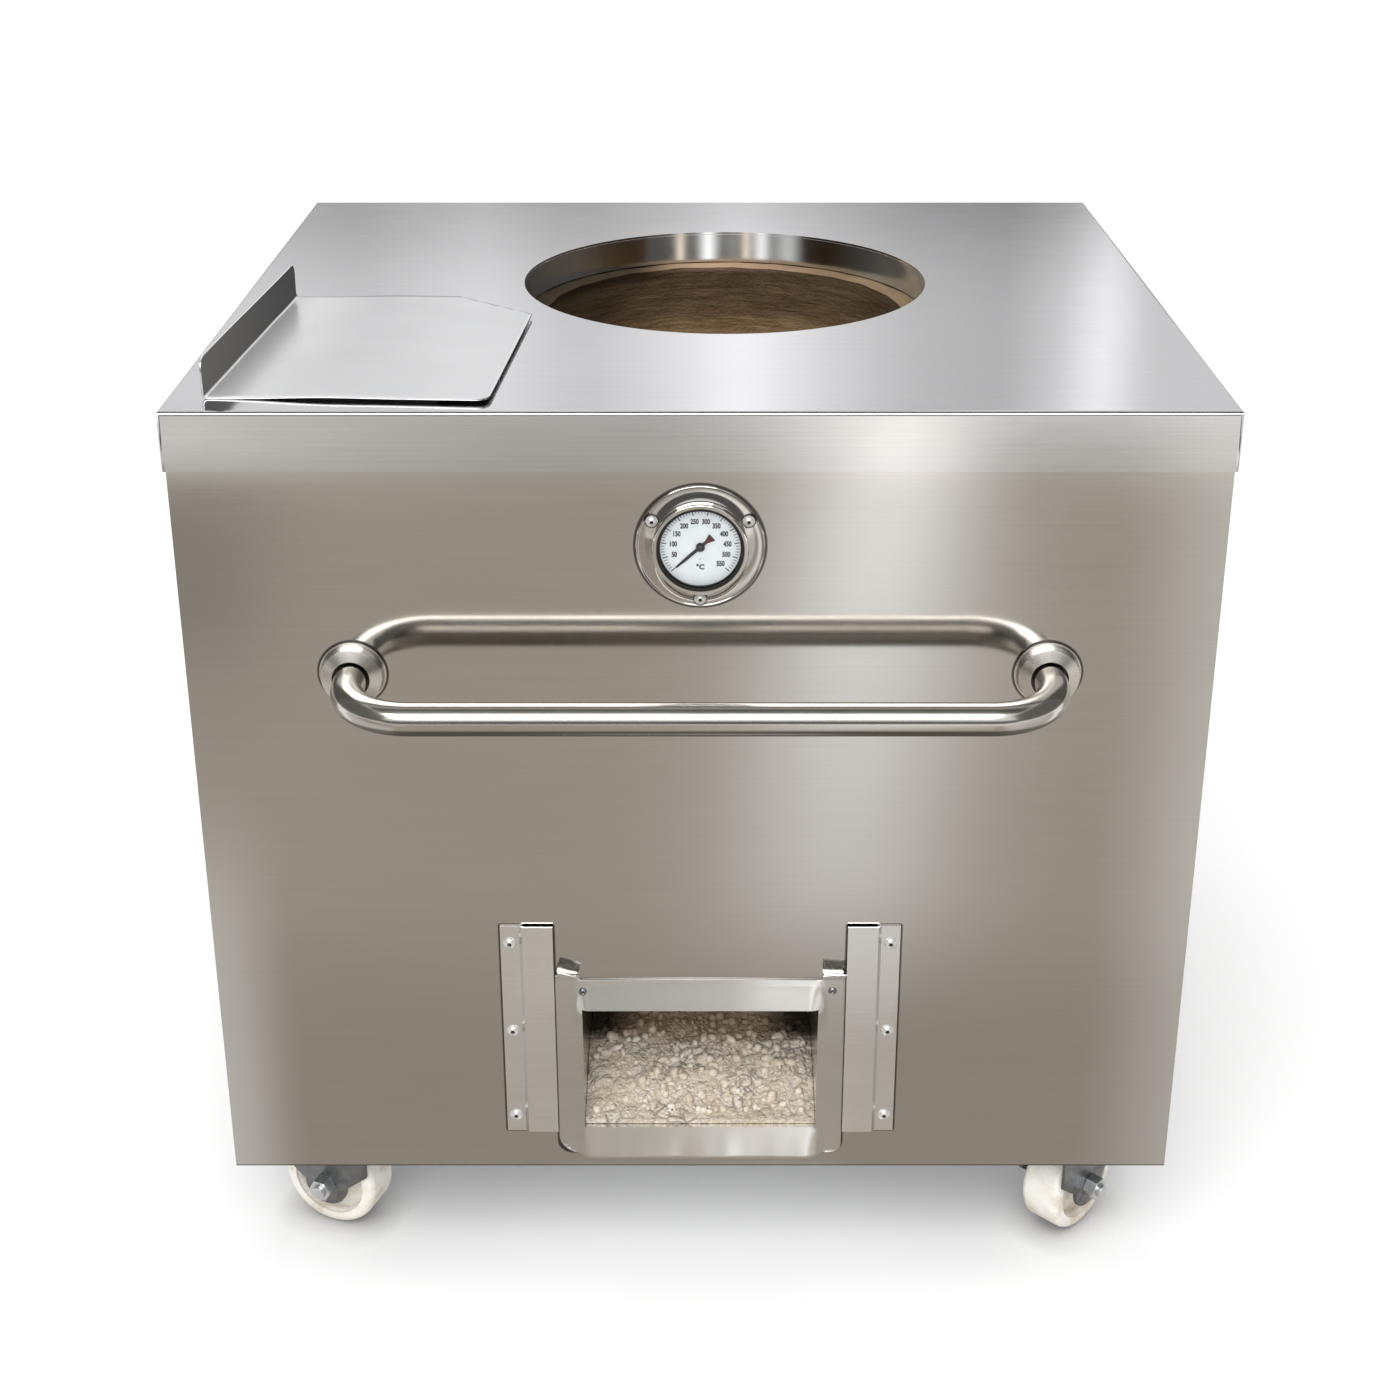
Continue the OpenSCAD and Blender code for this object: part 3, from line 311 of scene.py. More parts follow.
def zincPlate(name, dark, light):
    made, out, place = startFinish(name)
    spangle = place.node("ShaderNodeTexVoronoi", {}, {"Vector": place, "Scale": 160}, out="Color")
    patch = place.node("ShaderNodeSeparateColor", {}, {0: spangle})
    dirt = ease(grainNoise(place, 38, 5.0, 0.65), 0.48, 0.72)
    colour = blendColour(patch * 0.4 + grainNoise(place, 70) * 0.6, dark, light)
    colour = blendColour(dirt * 0.5, colour, [c * 0.45 for c in dark])
    rough = 0.30 + patch * 0.1 + dirt * 0.22
    closeFinish(out, shade(place, colour, rough, grainNoise(place, 420), 0.0002, 0.3, Metallic=0.95))
    return made


# the neckShade, left and lipLeftShade colours paint shade, and the rim colour paints a highlight on the lip's
# top
clayLook = {"dark": (0.37, 0.235, 0.122), "light": (0.60, 0.425, 0.236), "stroke": (0.66, 0.485, 0.275),
            "pits": (0.13, 0.08, 0.045), "neckShade": (0.085, 0.06, 0.04), "left": (0.06, 0.042, 0.026),
            "lipLeftShade": (0.03, 0.021, 0.012), "rim": (0.50, 0.335, 0.22), "leftOut": (-0.01, -0.10),
            "neckShadeUp": (0.670, 0.715), "lipUp": (0.735, 0.748), "lipOut": (0.0, -0.07),
            "rimUp": (0.742, 0.750), "rimLeft": (0.01, -0.07), "rimRight": (0.03, 0.12), "rough": 0.93,
            "gloss": 0.15}


def firedClay(name, look):
    made, out, place = startFinish(name)
    x, y, z = split(place)
    lumps = grainNoise(stretched(place, 1, 1, 1.8), 22, 5.0, 0.6)
    grit = grainNoise(place, 260, 4.0, 0.65)
    strokes = grainNoise(stretched(place, 0.6, 0.6, 5), 30, 3.0, 0.6)  # hand-smoothed bands
    colour = blendColour(ease(lumps, 0.3, 0.7), look["dark"], look["light"])
    colour = blendColour(ease(strokes, 0.5, 0.75) * 0.5, colour, look["stroke"])
    colour = blendColour(ease(grit, 0.58, 0.75) * 0.5, colour, look["pits"])
    # painted shade: a dark band up by the neck, and the left side darker
    left = ease(x, *look["leftOut"])
    neckShade = ease(z, *look["neckShadeUp"])
    colour = blendColour(neckShade * 0.66, colour, look["neckShade"])
    colour = blendColour(left * 0.6, colour, look["left"])
    # painted shade on the lip's left side
    lip = ease(z, *look["lipUp"]) * ease(x, *look["lipOut"])
    colour = blendColour(lip * 0.92, colour, look["lipLeftShade"])
    # painted highlight on the lip's top, fading out to the left and right
    rim = ease(z, *look["rimUp"]) * (1 - ease(x, *look["rimLeft"]) * 0.97)
    rim = rim * (1 - ease(x, *look["rimRight"]) * 0.92)
    colour = blendColour(rim * (0.7 + ease(lumps, 0.3, 0.7) * 0.3), colour, look["rim"])
    height = lumps * 0.5 + grit * 0.35 + strokes * 0.5
    closeFinish(out, shade(place, colour, look["rough"], height, 0.004, 0.9,
                           Specular_IOR_Level=look["gloss"]))
    return made


# the backShade keys paint shade at the tunnel's far end, darkest in its corners; frontShade paints shade at
# its mouth
ashLook = {"dark": (0.76, 0.655, 0.53), "light": (0.95, 0.875, 0.775), "grains": (0.95, 0.90, 0.83),
           "cracks": (0.13, 0.09, 0.055), "fineCracks": (0.24, 0.175, 0.11), "frontShade": (0.86, 0.85, 0.84),
           "backShade": (0.56, 0.42, 0.295), "backShadeCorner": (0.045, 0.034, 0.023), "backShadeFrom": 0.080,
           "backShadeTo": 0.106, "cornerOut": (0.045, 0.085), "shadeFrom": 0.008, "shadeTo": 0.035, "rough": 0.96,
           "gloss": 0.15}
stoneLook = {"dark": (0.66, 0.555, 0.43), "light": (0.90, 0.825, 0.725), "grains": (0.36, 0.27, 0.18),
             "rough": 0.92, "gloss": 0.15}


def paintedShadeAtBack(x, y, colour):  # painted shade at the tunnel's far end, darkest in its corners
    backShade = ease(y, panelY + ashLook["backShadeFrom"], panelY + ashLook["backShadeTo"])
    corner = ease(abs(x), *ashLook["cornerOut"])
    tunnelShadeColour = blendColour(corner, ashLook["backShade"], ashLook["backShadeCorner"])
    return blendColour(backShade * (0.88 + corner * 0.1), colour, tunnelShadeColour)


def ashCrust(name, look):
    made, out, place = startFinish(name)
    swirl = place.node("ShaderNodeTexNoise", {}, {"Vector": place, "Scale": 90}, out="Color")
    swirl = place.node("ShaderNodeVectorMath", {"operation": "SCALE"}, {0: swirl, "Scale": 0.006})
    bent = place.node("ShaderNodeVectorMath", {"operation": "ADD"}, {0: place, 1: swirl})
    crack = bent.node("ShaderNodeTexVoronoi", {"feature": "DISTANCE_TO_EDGE"}, {"Vector": bent, "Scale": 95})
    fine = bent.node("ShaderNodeTexVoronoi", {"feature": "DISTANCE_TO_EDGE"}, {"Vector": bent, "Scale": 230})
    broad = grainNoise(place, 28, 4.0, 0.6)
    grit = grainNoise(place, 520, 4.0, 0.7)
    seam = 1 - ease(crack, 0.01, 0.16)
    seam = seam * ease(broad, 0.42, 0.62)
    colour = blendColour(ease(broad, 0.3, 0.7), look["dark"], look["light"])
    colour = blendColour(ease(grit, 0.55, 0.8) * 0.6, colour, look["grains"])
    colour = blendColour(seam * 0.6, colour, look["cracks"])
    colour = blendColour((1 - ease(fine, 0.0, 0.12)) * 0.25, colour, look["fineCracks"])
    x, y = split(place)[:2]
    colour = paintedShadeAtBack(x, y, colour)
    front = 1 - ease(y, panelY + look["shadeFrom"], panelY + look["shadeTo"])
    colour = blendColour(front, colour, look["frontShade"], "MULTIPLY")
    height = crack * 0.8 + fine * 0.5 + grit * 0.25
    closeFinish(out, shade(place, colour, look["rough"], height, 0.006, 0.9,
                           Specular_IOR_Level=look["gloss"]))
    return made


def gravelStone(name, look):
    made, out, place = startFinish(name)
    kind = grainNoise(place, 130, 1.0)
    grit = grainNoise(place, 800, 3.0, 0.7)
    colour = blendColour(ease(kind, 0.3, 0.7), look["dark"], look["light"])
    colour = blendColour(ease(grit, 0.55, 0.75) * 0.35, colour, look["grains"])
    colour = paintedShadeAtBack(*split(place)[:2], colour)
    closeFinish(out, shade(place, colour, look["rough"], grit, 0.0012, 0.8, Specular_IOR_Level=look["gloss"]))
    return made


nylonLook = {"pale": (0.92, 0.90, 0.85), "aged": (0.86, 0.82, 0.74), "dirt": (0.45, 0.34, 0.21),
             "dirtTo": 0.03, "rough": 0.42}


def castNylon(name, look):
    made, out, place = startFinish(name)
    z = split(place)[2]
    stain = grainNoise(place, 46, 5.0, 0.62)
    spots = grainNoise(place, 210, 4.0, 0.7)
    low = 1 - ease(z, 0.0, look["dirtTo"])
    dirt = ease(stain, 0.50, 0.66) * 0.55 + ease(spots, 0.60, 0.72) * 0.35 + low * 0.25
    colour = blendColour(ease(stain, 0.3, 0.6), look["pale"], look["aged"])
    colour = blendColour(dirt * 0.65, colour, look["dirt"])
    rough = look["rough"] + dirt * 0.25
    closeFinish(out, shade(place, colour, rough, stain * 0.6 + spots * 0.3, 0.0012, 0.5))
    return made


def plainFinish(name, dark, light, rough, scale, depth=0.0002, **fixed):  # one colour, mottled
    made, out, place = startFinish(name)
    mottle = grainNoise(place, scale, 4.0, 0.6)
    fine = grainNoise(place, scale * 6, 2.0)
    colour = blendColour(ease(mottle, 0.3, 0.7), dark, light)
    closeFinish(out, shade(place, colour, rough + (mottle - 0.5) * 0.12, fine, depth, 0.4, **fixed))
    return made


needleLook = {"dark": (0.007, 0.006, 0.007), "light": (0.018, 0.014, 0.015), "tail": (0.075, 0.012, 0.020)}


def needlePaint(name, look):  # black, with a maroon tail behind the hub
    made, out, place = startFinish(name)
    x, y, z = split(place)
    mottle = grainNoise(place, 300, 3.0)
    turn = math.radians(dial["from"])
    tail = ease(x * -math.cos(turn) + (z - gaugeZ) * -math.sin(turn), *dial["tailAt"])
    colour = blendColour(mottle, look["dark"], look["light"])
    colour = blendColour(tail, colour, look["tail"])
    closeFinish(out, shade(place, colour, 0.36 + mottle * 0.1, mottle, 0.0001, 0.3))
    return made


def dialGlass(name):
    made, out, place = startFinish(name)
    smear = grainNoise(place, 60, 3.0)
    colour = blendColour(smear, (0.97, 0.985, 0.985), (1.0, 1.0, 1.0))
    closeFinish(out, shade(place, colour, smear * 0.01, Transmission_Weight=1.0, IOR=1.2))
    return made


finishes = {name: brushedSteel(name, {**steelPlain, **look}) for name, look in steelLooks.items()}
finishes["zinc_steel"] = zincPlate("zinc_steel", (0.40, 0.42, 0.44), (0.66, 0.68, 0.70))
finishes["fork_steel"] = zincPlate("fork_steel", (0.17, 0.175, 0.18), (0.34, 0.35, 0.36))
finishes["nut_steel"] = zincPlate("nut_steel", (0.62, 0.64, 0.66), (0.86, 0.87, 0.88))
finishes["clay"] = firedClay("clay", clayLook)
finishes["ash"] = ashCrust("ash", ashLook)
finishes["stones"] = gravelStone("stones", stoneLook)
finishes["nylon"] = castNylon("nylon", nylonLook)
finishes["hearth"] = plainFinish("hearth", (0.33, 0.27, 0.205), (0.46, 0.39, 0.305), 0.9, 40, 0.003)
finishes["insulation"] = plainFinish("insulation", (0.62, 0.57, 0.46), (0.80, 0.765, 0.68), 0.95, 55, 0.006)
finishes["gasket"] = plainFinish("gasket", (0.004, 0.004, 0.004), (0.011, 0.010, 0.010), 0.55, 120)
finishes["dial"] = plainFinish("dial", (0.80, 0.845, 0.87), (0.86, 0.89, 0.905), 0.42, 140)
finishes["ink"] = plainFinish("ink", (0.012, 0.012, 0.014), (0.05, 0.05, 0.055), 0.55, 600)
finishes["needle"] = needlePaint("needle", needleLook)
finishes["hub_cap"] = plainFinish("hub_cap", (0.04, 0.043, 0.046), (0.085, 0.09, 0.093), 0.4, 400,
                                  Metallic=0.5)
finishes["dial_glass"] = dialGlass("dial_glass")
# near black, for the shutter's hems: painted shade for the gap under the sheet's edges
finishes["shadedUnder_steel"] = plainFinish("shadedUnder_steel", (0.012, 0.011, 0.010), (0.03, 0.028, 0.026), 0.6, 90,
                                       Metallic=0.4)

special = {"mouth_collar": "collar_steel", "left_rail": "rail_steel", "right_rail": "rail_steel",
           "draft_tunnel": "frame_steel", "draft_shutter": "shutter_steel", "rail_screws": "screw_steel",
           "tunnel_screws": "fork_steel", "gauge_screws": "screw_steel", "handle_bar": "handle_steel",
           "handle_rosettes": "rosette_steel", "gauge_flange": "gauge_steel"}
for corner in corners:
    special.update({corner + "_fork": "fork_steel", corner + "_nut": "nut_steel",
                    corner + "_axle": "nut_steel"})
for part in frame["record"]["subparts"]:
    finish = finishes[special.get(part["node"], part["material_slot"])]
    for place in nodes[part["node"]].material_slots:
        place.material = finish
print("finishes made:", len(finishes))


# helpers for the meshes, in metres

together = 0.00001      # points nearer than this are one
sheetEdge = 0.0003      # how far a sheet's cut edges are rounded


def newObject(name, bm):
    mesh = bpy.data.meshes.new(name)
    bm.to_mesh(mesh)
    bm.free()
    made = bpy.data.objects.new(name, mesh)
    scene.collection.objects.link(made)
    return made


def addPiece(name, bm, finish, body, stands=(), sharp=32, even=False):
    bm.normal_update()
    piece = newObject(name, bm)
    for face in piece.data.polygons:
        face.use_smooth = True
    piece.data.set_sharp_from_angle(angle=math.radians(sharp))
    piece.data.materials.append(finishes[finish])
    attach(piece, body)
    if even:  # broken edges leave the flat faces flat
        piece.modifiers.new("even", "WEIGHTED_NORMAL").keep_sharp = True
    if stands:
        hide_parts(*stands)
    return piece


def bodyOf(node):
    return next(b for b, held in frame["record"]["behaviour"]["bodies"].items() if node in held)


def slotOf(node):
    return next(p["material_slot"] for p in frame["record"]["subparts"] if p["node"] == node)


def pointsIn(made):
    return [g for g in made if isinstance(g, bmesh.types.BMVert)]


def pullEdges(bm, edges):  # extrudes a row of edges and gives the new row and its points
    made = bmesh.ops.extrude_edge_only(bm, edges=edges)["geom"]
    row = [g for g in made if isinstance(g, bmesh.types.BMEdge) and all(v in made for v in g.verts)]
    return row, pointsIn(made)


def smooth(value, low, high):
    t = min(1.0, max(0.0, (value - low) / (high - low)))
    return t * t * (3 - 2 * t)


def thicken(piece, thick):
    wall = piece.modifiers.new("wall", "SOLIDIFY")
    wall.thickness, wall.offset = thick, -1
    rim = piece.modifiers.new("rim", "BEVEL")
    rim.width, rim.segments, rim.limit_method = sheetEdge, 2, "ANGLE"
    rim.angle_limit = math.radians(50)


# sheets and castings with their sharp edges broken, in millimetres

brokenEdges = {
    "top_plate": 0.7, "front_panel": 0.9, "back_panel": 0.9, "left_panel": 0.9, "right_panel": 0.9,
    "left_rail": 0.55, "right_rail": 0.55, "mouth_collar": 0.4, "handle_rosettes": 0.5,
    "caster_plates": 0.6,
}
for corner in corners:
    brokenEdges.update({corner + "_fork": 0.9, corner + "_nut": 1.1, corner + "_axle": 0.8})
railPress = {"from": 0.003, "by": 0.0026, "slope": 0.0026, "outside": 0.144}  # metres: a low, sloping joggle


def breakEdges(node, width):
    bm = bmesh.new()
    bm.from_mesh(nodes[node].data)
    bmesh.ops.remove_doubles(bm, verts=bm.verts, dist=together)
    bmesh.ops.dissolve_limit(bm, angle_limit=math.radians(0.6), verts=bm.verts, edges=bm.edges)
    if node in ("left_rail", "right_rail"):
        for v in bm.verts:
            if v.co.y < panelY - railPress["from"]:
                v.co.y += railPress["by"]
                if abs(v.co.x) > railPress["outside"]:
                    v.co.x -= math.copysign(railPress["slope"], v.co.x)
    edges = [e for e in bm.edges if len(e.link_faces) == 2 and e.calc_face_angle(0) > math.radians(38)]
    bmesh.ops.bevel(bm, geom=edges, offset=width * 0.001, offset_type="OFFSET", segments=3, profile=0.5,
                    affect="EDGES", material=-1, clamp_overlap=True)
    drawn = node == "mouth_collar"
    addPiece(node + "_dressed", bm, special.get(node, slotOf(node)), bodyOf(node), [node],
             12 if drawn else 32, not drawn)


for node, width in brokenEdges.items():
    breakEdges(node, width)
print("edges broken on", len(brokenEdges), "pieces")


# thermometer flange, turned as a low cone with a beaded rim; dark washers under the button heads, dark to
# paint a shade ring round each head; dark discs that paint shade in the screw sockets

gauge = {"inner": 0.0331, "steps": 128, "screwRing": 0.042, "screwsAt": (30, 150, 270), "headSeat": 0.0032,
         "section": ((0.0490, 0.0), (0.0490, 0.0012), (0.0487, 0.0018), (0.0481, 0.0021), (0.0474, 0.0019),
                     (0.0470, 0.0014), (0.0464, 0.0013), (0.0376, 0.0030), (0.0372, 0.0032))}
shadowWashers = {"railHead": 0.0055, "railHeadHigh": 0.0036, "railWide": 0.0063, "railProud": 0.0002,
           "gaugeWide": 0.0053, "railSocket": 0.0017, "gaugeSocket": 0.00135, "gaugeHeadHigh": 0.0032,
           "gaugeProud": 0.0001, "gaugeFrom": 0.0010, "railInto": 0.0003, "socketProud": 0.0004,
           "socketInto": 0.0001}


def makeFlange(g):
    bm = bmesh.new()
    section = ((g["inner"], 0.0),) + g["section"] + ((g["inner"], g["headSeat"]),)
    ring = [bm.verts.new((r, panelY - out, gaugeZ)) for r, out in section]
    edges = [bm.edges.new((a, b)) for a, b in zip(ring, ring[1:] + ring[:1])]
    bmesh.ops.spin(bm, geom=ring + edges, cent=(0, 0, gaugeZ), axis=(0, 1, 0), angle=math.tau,
                   steps=g["steps"], use_merge=True)
    bmesh.ops.remove_doubles(bm, verts=bm.verts, dist=together)
    bmesh.ops.recalc_face_normals(bm, faces=bm.faces)
    addPiece("gauge_flange_turned", bm, "gauge_steel", bodyOf("gauge_flange"), ["gauge_flange"],
             40)


def makeDiscs(name, places, r, front, back):
    bm = bmesh.new()
    for x, z in places:
        bmesh.ops.create_cone(bm, cap_ends=True, segments=36, radius1=r, radius2=r, depth=back - front,
                              matrix=Matrix.Translation((x, (front + back) / 2, z)) @ Matrix.Rotation(
                                  math.radians(90), 4, "X"))
    addPiece(name, bm, "gasket", "cabinet", ())


makeFlange(gauge)
turns = [math.radians(a) for a in gauge["screwsAt"]]
gaugePlaces = [(gauge["screwRing"] * math.cos(a), gaugeZ + gauge["screwRing"] * math.sin(a)) for a in turns]
# dark washers under the thermometer's screw heads: spacers, dark to paint a shade ring round each head
makeDiscs("gauge_shadowWashers", gaugePlaces, shadowWashers["gaugeWide"],
          panelY - gauge["headSeat"] - shadowWashers["gaugeProud"], panelY - shadowWashers["gaugeFrom"])
# dark discs in the thermometer screws' sockets: painted shade
floorY = panelY - gauge["headSeat"] - shadowWashers["gaugeHeadHigh"] / 2
makeDiscs("gauge_socketShadows", gaugePlaces, shadowWashers["gaugeSocket"], floorY - shadowWashers["socketProud"],
          floorY + shadowWashers["socketInto"])
screwLow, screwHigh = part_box("rail_screws")
railZs = (screwLow.z + shadowWashers["railHead"], (screwLow.z + screwHigh.z) / 2, screwHigh.z - shadowWashers["railHead"])
railFace = screwLow.y + shadowWashers["railHeadHigh"]
railPlaces = [(sign * (screwHigh.x - shadowWashers["railHead"]), z) for sign in (-1, 1) for z in railZs]
# dark rings under the rail screws' heads: painted shade round each head
makeDiscs("rail_shadowWashers", railPlaces, shadowWashers["railWide"], railFace - shadowWashers["railProud"],
          railFace + shadowWashers["railInto"])
# dark discs in the rail screws' sockets: painted shade
floorY = railFace - shadowWashers["railHeadHigh"] / 2
makeDiscs("rail_socketShadows", railPlaces, shadowWashers["railSocket"], floorY - shadowWashers["socketProud"],
          floorY + shadowWashers["socketInto"])
print("thermometer flange and washers made")


# loose shutter: a sheet with an upturned lip, standing on the hems under two of its edges

def shutterRise(x):  # the sheet springs up towards its free edges
    return shutter["lift"] * smooth(x / shutter["long"] + 0.5, shutter["liftFrom"], shutter["liftTo"])


def shutterPlace(s):
    at = (cadBox[0].x + s["fromLeft"], frontY + s["fromFront"], topZ + s["thick"])
    return Matrix.Translation(at) @ Matrix.Rotation(math.radians(s["turn"]), 4, "Z")


def makeShutter(s):
    halfL, halfW = s["long"] / 2, s["wide"] / 2
    bm = bmesh.new()
    bmesh.ops.create_grid(bm, x_segments=s["cellsLong"], y_segments=s["cellsWide"], size=0.5)
    bmesh.ops.scale(bm, vec=(s["long"] - s["bend"], s["wide"], 1), verts=bm.verts)
    bmesh.ops.translate(bm, vec=(s["bend"] / 2, 0, 0), verts=bm.verts)
    bmesh.ops.bisect_plane(bm, geom=bm.verts[:] + bm.edges[:] + bm.faces[:], dist=1e-6,
                           plane_co=(halfL - s["cutLong"], halfW, 0),
                           plane_no=Vector((s["cutWide"], s["cutLong"], 0)).normalized(), clear_outer=True)
    centre = Vector((halfL - s["corner"], s["corner"] - halfW, 0))
    for v in bm.verts:  # round front corner
        if v.co.x > centre.x and v.co.y < centre.y and (v.co - centre).length > s["corner"]:
            v.co = centre + (v.co - centre).normalized() * s["corner"]
    lipEdges = [e for e in bm.edges if all(abs(v.co.x - s["bend"] + halfL) < 1e-5 for v in e.verts)]
    swept = bmesh.ops.spin(bm, geom=lipEdges, cent=(s["bend"] - halfL, 0, s["bend"]), axis=(0, 1, 0),
                           angle=math.radians(90), steps=4)["geom_last"]
    lipEdges = [g for g in swept if isinstance(g, bmesh.types.BMEdge)]
    rise = (s["lip"] - s["bend"] - s["thick"]) / s["lipCells"]
    for i in range(s["lipCells"]):
        lipEdges, points = pullEdges(bm, lipEdges)
        bmesh.ops.translate(bm, vec=(0, 0, rise), verts=points)
    top = s["lip"] - s["thick"]
    for v in bm.verts:
        for sign in (-1, 1):
            c = Vector((v.co.x, sign * (halfW - s["lipCorner"]), top - s["lipCorner"]))
            if v.co.z > c.z and v.co.y * sign > c.y * sign and (v.co - c).length > s["lipCorner"]:
                v.co = c + (v.co - c).normalized() * s["lipCorner"]
    for v in bm.verts:
        free = smooth(v.co.x / s["long"] + 0.5, 0, 0.3)
        if v.co.x < s["bend"] - halfL:
            v.co.x += s["lipWaves"] * noise.noise(Vector((0, v.co.y * 14, v.co.z * 20)))
        v.co.z += shutterRise(v.co.x) + s["sheetWaves"] * noise.noise(v.co * 17) * free
        v.co.z = max(v.co.z, 0.0)
    bm.normal_update()
    middle = min(bm.faces, key=lambda f: f.calc_center_median().length)
    if middle.normal.z < 0:
        bmesh.ops.reverse_faces(bm, faces=bm.faces)
    bmesh.ops.transform(bm, matrix=shutterPlace(s), verts=bm.verts)
    piece = addPiece("shutter_sheet", bm, "shutter_steel", "shutter", ["draft_shutter"], 40)
    thicken(piece, s["thick"])


def makeHems(s):
    bm = bmesh.new()
    halfL, halfW = s["long"] / 2, s["wide"] / 2
    front = ((s["hemShort"] - halfL, s["hemIn"] - halfW),
             (halfL - s["hemLong"], s["hemIn"] + s["hemThick"] - halfW))
    right = ((halfL - s["hemIn"] - s["hemThick"], s["hemLong"] - halfW),
             (halfL - s["hemIn"], halfW - s["cutWide"] - s["hemShort"]))
    for low, high in (front, right):
        made = bmesh.ops.create_grid(bm, x_segments=24, y_segments=2, size=0.5)["verts"]
        for v in made:
            v.co.x = low[0] + (v.co.x + 0.5) * (high[0] - low[0])
            v.co.y = low[1] + (v.co.y + 0.5) * (high[1] - low[1])
            v.co.z = s["hemClear"] - s["thick"]
    made = bmesh.ops.extrude_face_region(bm, geom=bm.faces[:])["geom"]
    for v in pointsIn(made):
        v.co.z = shutterRise(v.co.x) - s["thick"] + s["hemInto"]
    bmesh.ops.recalc_face_normals(bm, faces=bm.faces)
    bmesh.ops.transform(bm, matrix=shutterPlace(s), verts=bm.verts)
    # the hems are painted near black: painted shade under the sheet's front and right edges
    addPiece("shutter_hems", bm, "shadedUnder_steel", "shutter", ())


makeShutter(shutter)
makeHems(shutter)
print("shutter made")


# draft frame: one sheet, its flange dished round the opening and its tunnel running back to the pot

def between(index, stops):  # place of a grid line among stops of (line, value)
    for (i, a), (j, b) in zip(stops, stops[1:]):
        if index <= j:
            return a + (b - a) * (index - i) / (j - i)
    return stops[-1][1]


def makeDraftFrame(d):
    bm = bmesh.new()
    across, up = d["xLines"][-1], d["zLines"][-1]
    bmesh.ops.create_grid(bm, x_segments=across, y_segments=up, size=0.5)
    xStops = tuple(zip(d["xLines"], (-d["half"], -d["gapHalf"], d["gapHalf"], d["half"])))
    zStops = tuple(zip(d["zLines"], (d["foot"], d["gapFoot"], d["gapHead"], d["head"])))
    for v in bm.verts:
        x = between(round((v.co.x + 0.5) * across), xStops)
        z = between(round((v.co.y + 0.5) * up), zStops)
        v.co = (x, panelY - d["thick"], z)
    gap = [f for f in bm.faces if abs(f.calc_center_median().x) < d["gapHalf"]
           and d["gapFoot"] < f.calc_center_median().z < d["gapHead"]]
    bmesh.ops.delete(bm, geom=gap, context="FACES")
    mouth = [e for e in bm.edges if e.is_boundary and all(abs(v.co.x) < d["gapHalf"] + 1e-5
             and d["gapFoot"] - 1e-5 < v.co.z < d["gapHead"] + 1e-5 for v in e.verts)]
    topRow = [e for e in bm.edges if all(abs(v.co.z - d["head"]) < 1e-6 for v in e.verts)]
    for v in bm.verts:
        for sign, corner in ((-1, d["leftCorner"]), (1, d["rightCorner"])):
            c = Vector((sign * (d["half"] - corner), v.co.y, d["foot"] + corner))
            if v.co.x * sign > c.x * sign and v.co.z < c.z and (v.co - c).length > corner:
                v.co = c + (v.co - c).normalized() * corner
    for v in bm.verts:
        x, z = v.co.x, v.co.z
        inner = 1 - smooth(abs(x), d["gapHalf"] - d["dishIn"], d["gapHalf"] + d["dishOut"])
        brow = d["head"] - d["flatEdge"]
        upper = min(1, max(0, (brow - z) / (brow - d["gapHead"])))
        upper *= smooth(z, d["gapHead"] - d["dishFade"], d["gapHead"])
        lower = min(1, max(0, (d["gapFoot"] - z) / (d["gapFoot"] - d["foot"])))
        wave = noise.noise(Vector((x * 26, 0.3, 0))) + 0.5 * noise.noise(Vector((x * 70, 1.7, 0)))
        v.co.y -= d["dishTop"] * upper * inner + lower * inner * (d["dishFoot"] + d["ripple"] * wave)
        v.co.z += lower * (d["ripple"] * wave - d["sag"] * inner)
        if z > d["gapHead"]:
            v.co.z += d["crown"] * inner * smooth(z, d["gapHead"], d["head"]) * math.cos(x * 14)
    for depth in (0, d["tunnelBend"], d["tunnel"]):
        mouth, points = pullEdges(bm, mouth)
        for v in points:
            v.co.y = panelY + depth
    for sign, twist in d["tabTwists"]:
        tab = [e for e in topRow
               if d["tabFrom"] < sum(v.co.x for v in e.verts) / 2 * sign < d["half"] - d["tabClear"]]
        base = sum((v.co for e in tab for v in e.verts), Vector()) / (2 * len(tab))
        for i in range(d["tabCells"] + 1):
            tab, points = pullEdges(bm, tab)
            step = d["tabRise"] if i == 0 else d["tabLong"] / d["tabCells"]
            lean = 0 if i == 0 else d["tabLean"] * min(1, i / d["tabCurl"])
            way = Vector((0, -math.sin(math.radians(lean)), math.cos(math.radians(lean)))) * step
            turned = Matrix.Rotation(math.radians(twist * (i > 0)) / d["tabCells"], 4, "Y")
            for v in points:
                v.co += way
                v.co = base + turned @ (v.co - base)
    bm.normal_update()
    low = min(bm.faces, key=lambda f: f.calc_center_median().z)
    if low.normal.y > 0:
        bmesh.ops.reverse_faces(bm, faces=bm.faces)
    piece = addPiece("draft_frame", bm, "frame_steel", "cabinet", ["draft_tunnel"], 35)
    thicken(piece, d["thick"])


def seatScrews(node, out):  # the left screw stands on the dished strip
    bm = bmesh.new()
    bm.from_mesh(nodes[node].data)
    bmesh.ops.remove_doubles(bm, verts=bm.verts, dist=together)
    for v in bm.verts:
        v.co.y -= out if v.co.x < 0 else 0
    addPiece(node + "_seated", bm, special[node], bodyOf(node), [node])


makeDraftFrame(draft)
seatScrews("tunnel_screws", draft["screwOut"])
print("draft frame made")


# ash: a crust in the tunnel that heaps up in the pot, with loose stones on it

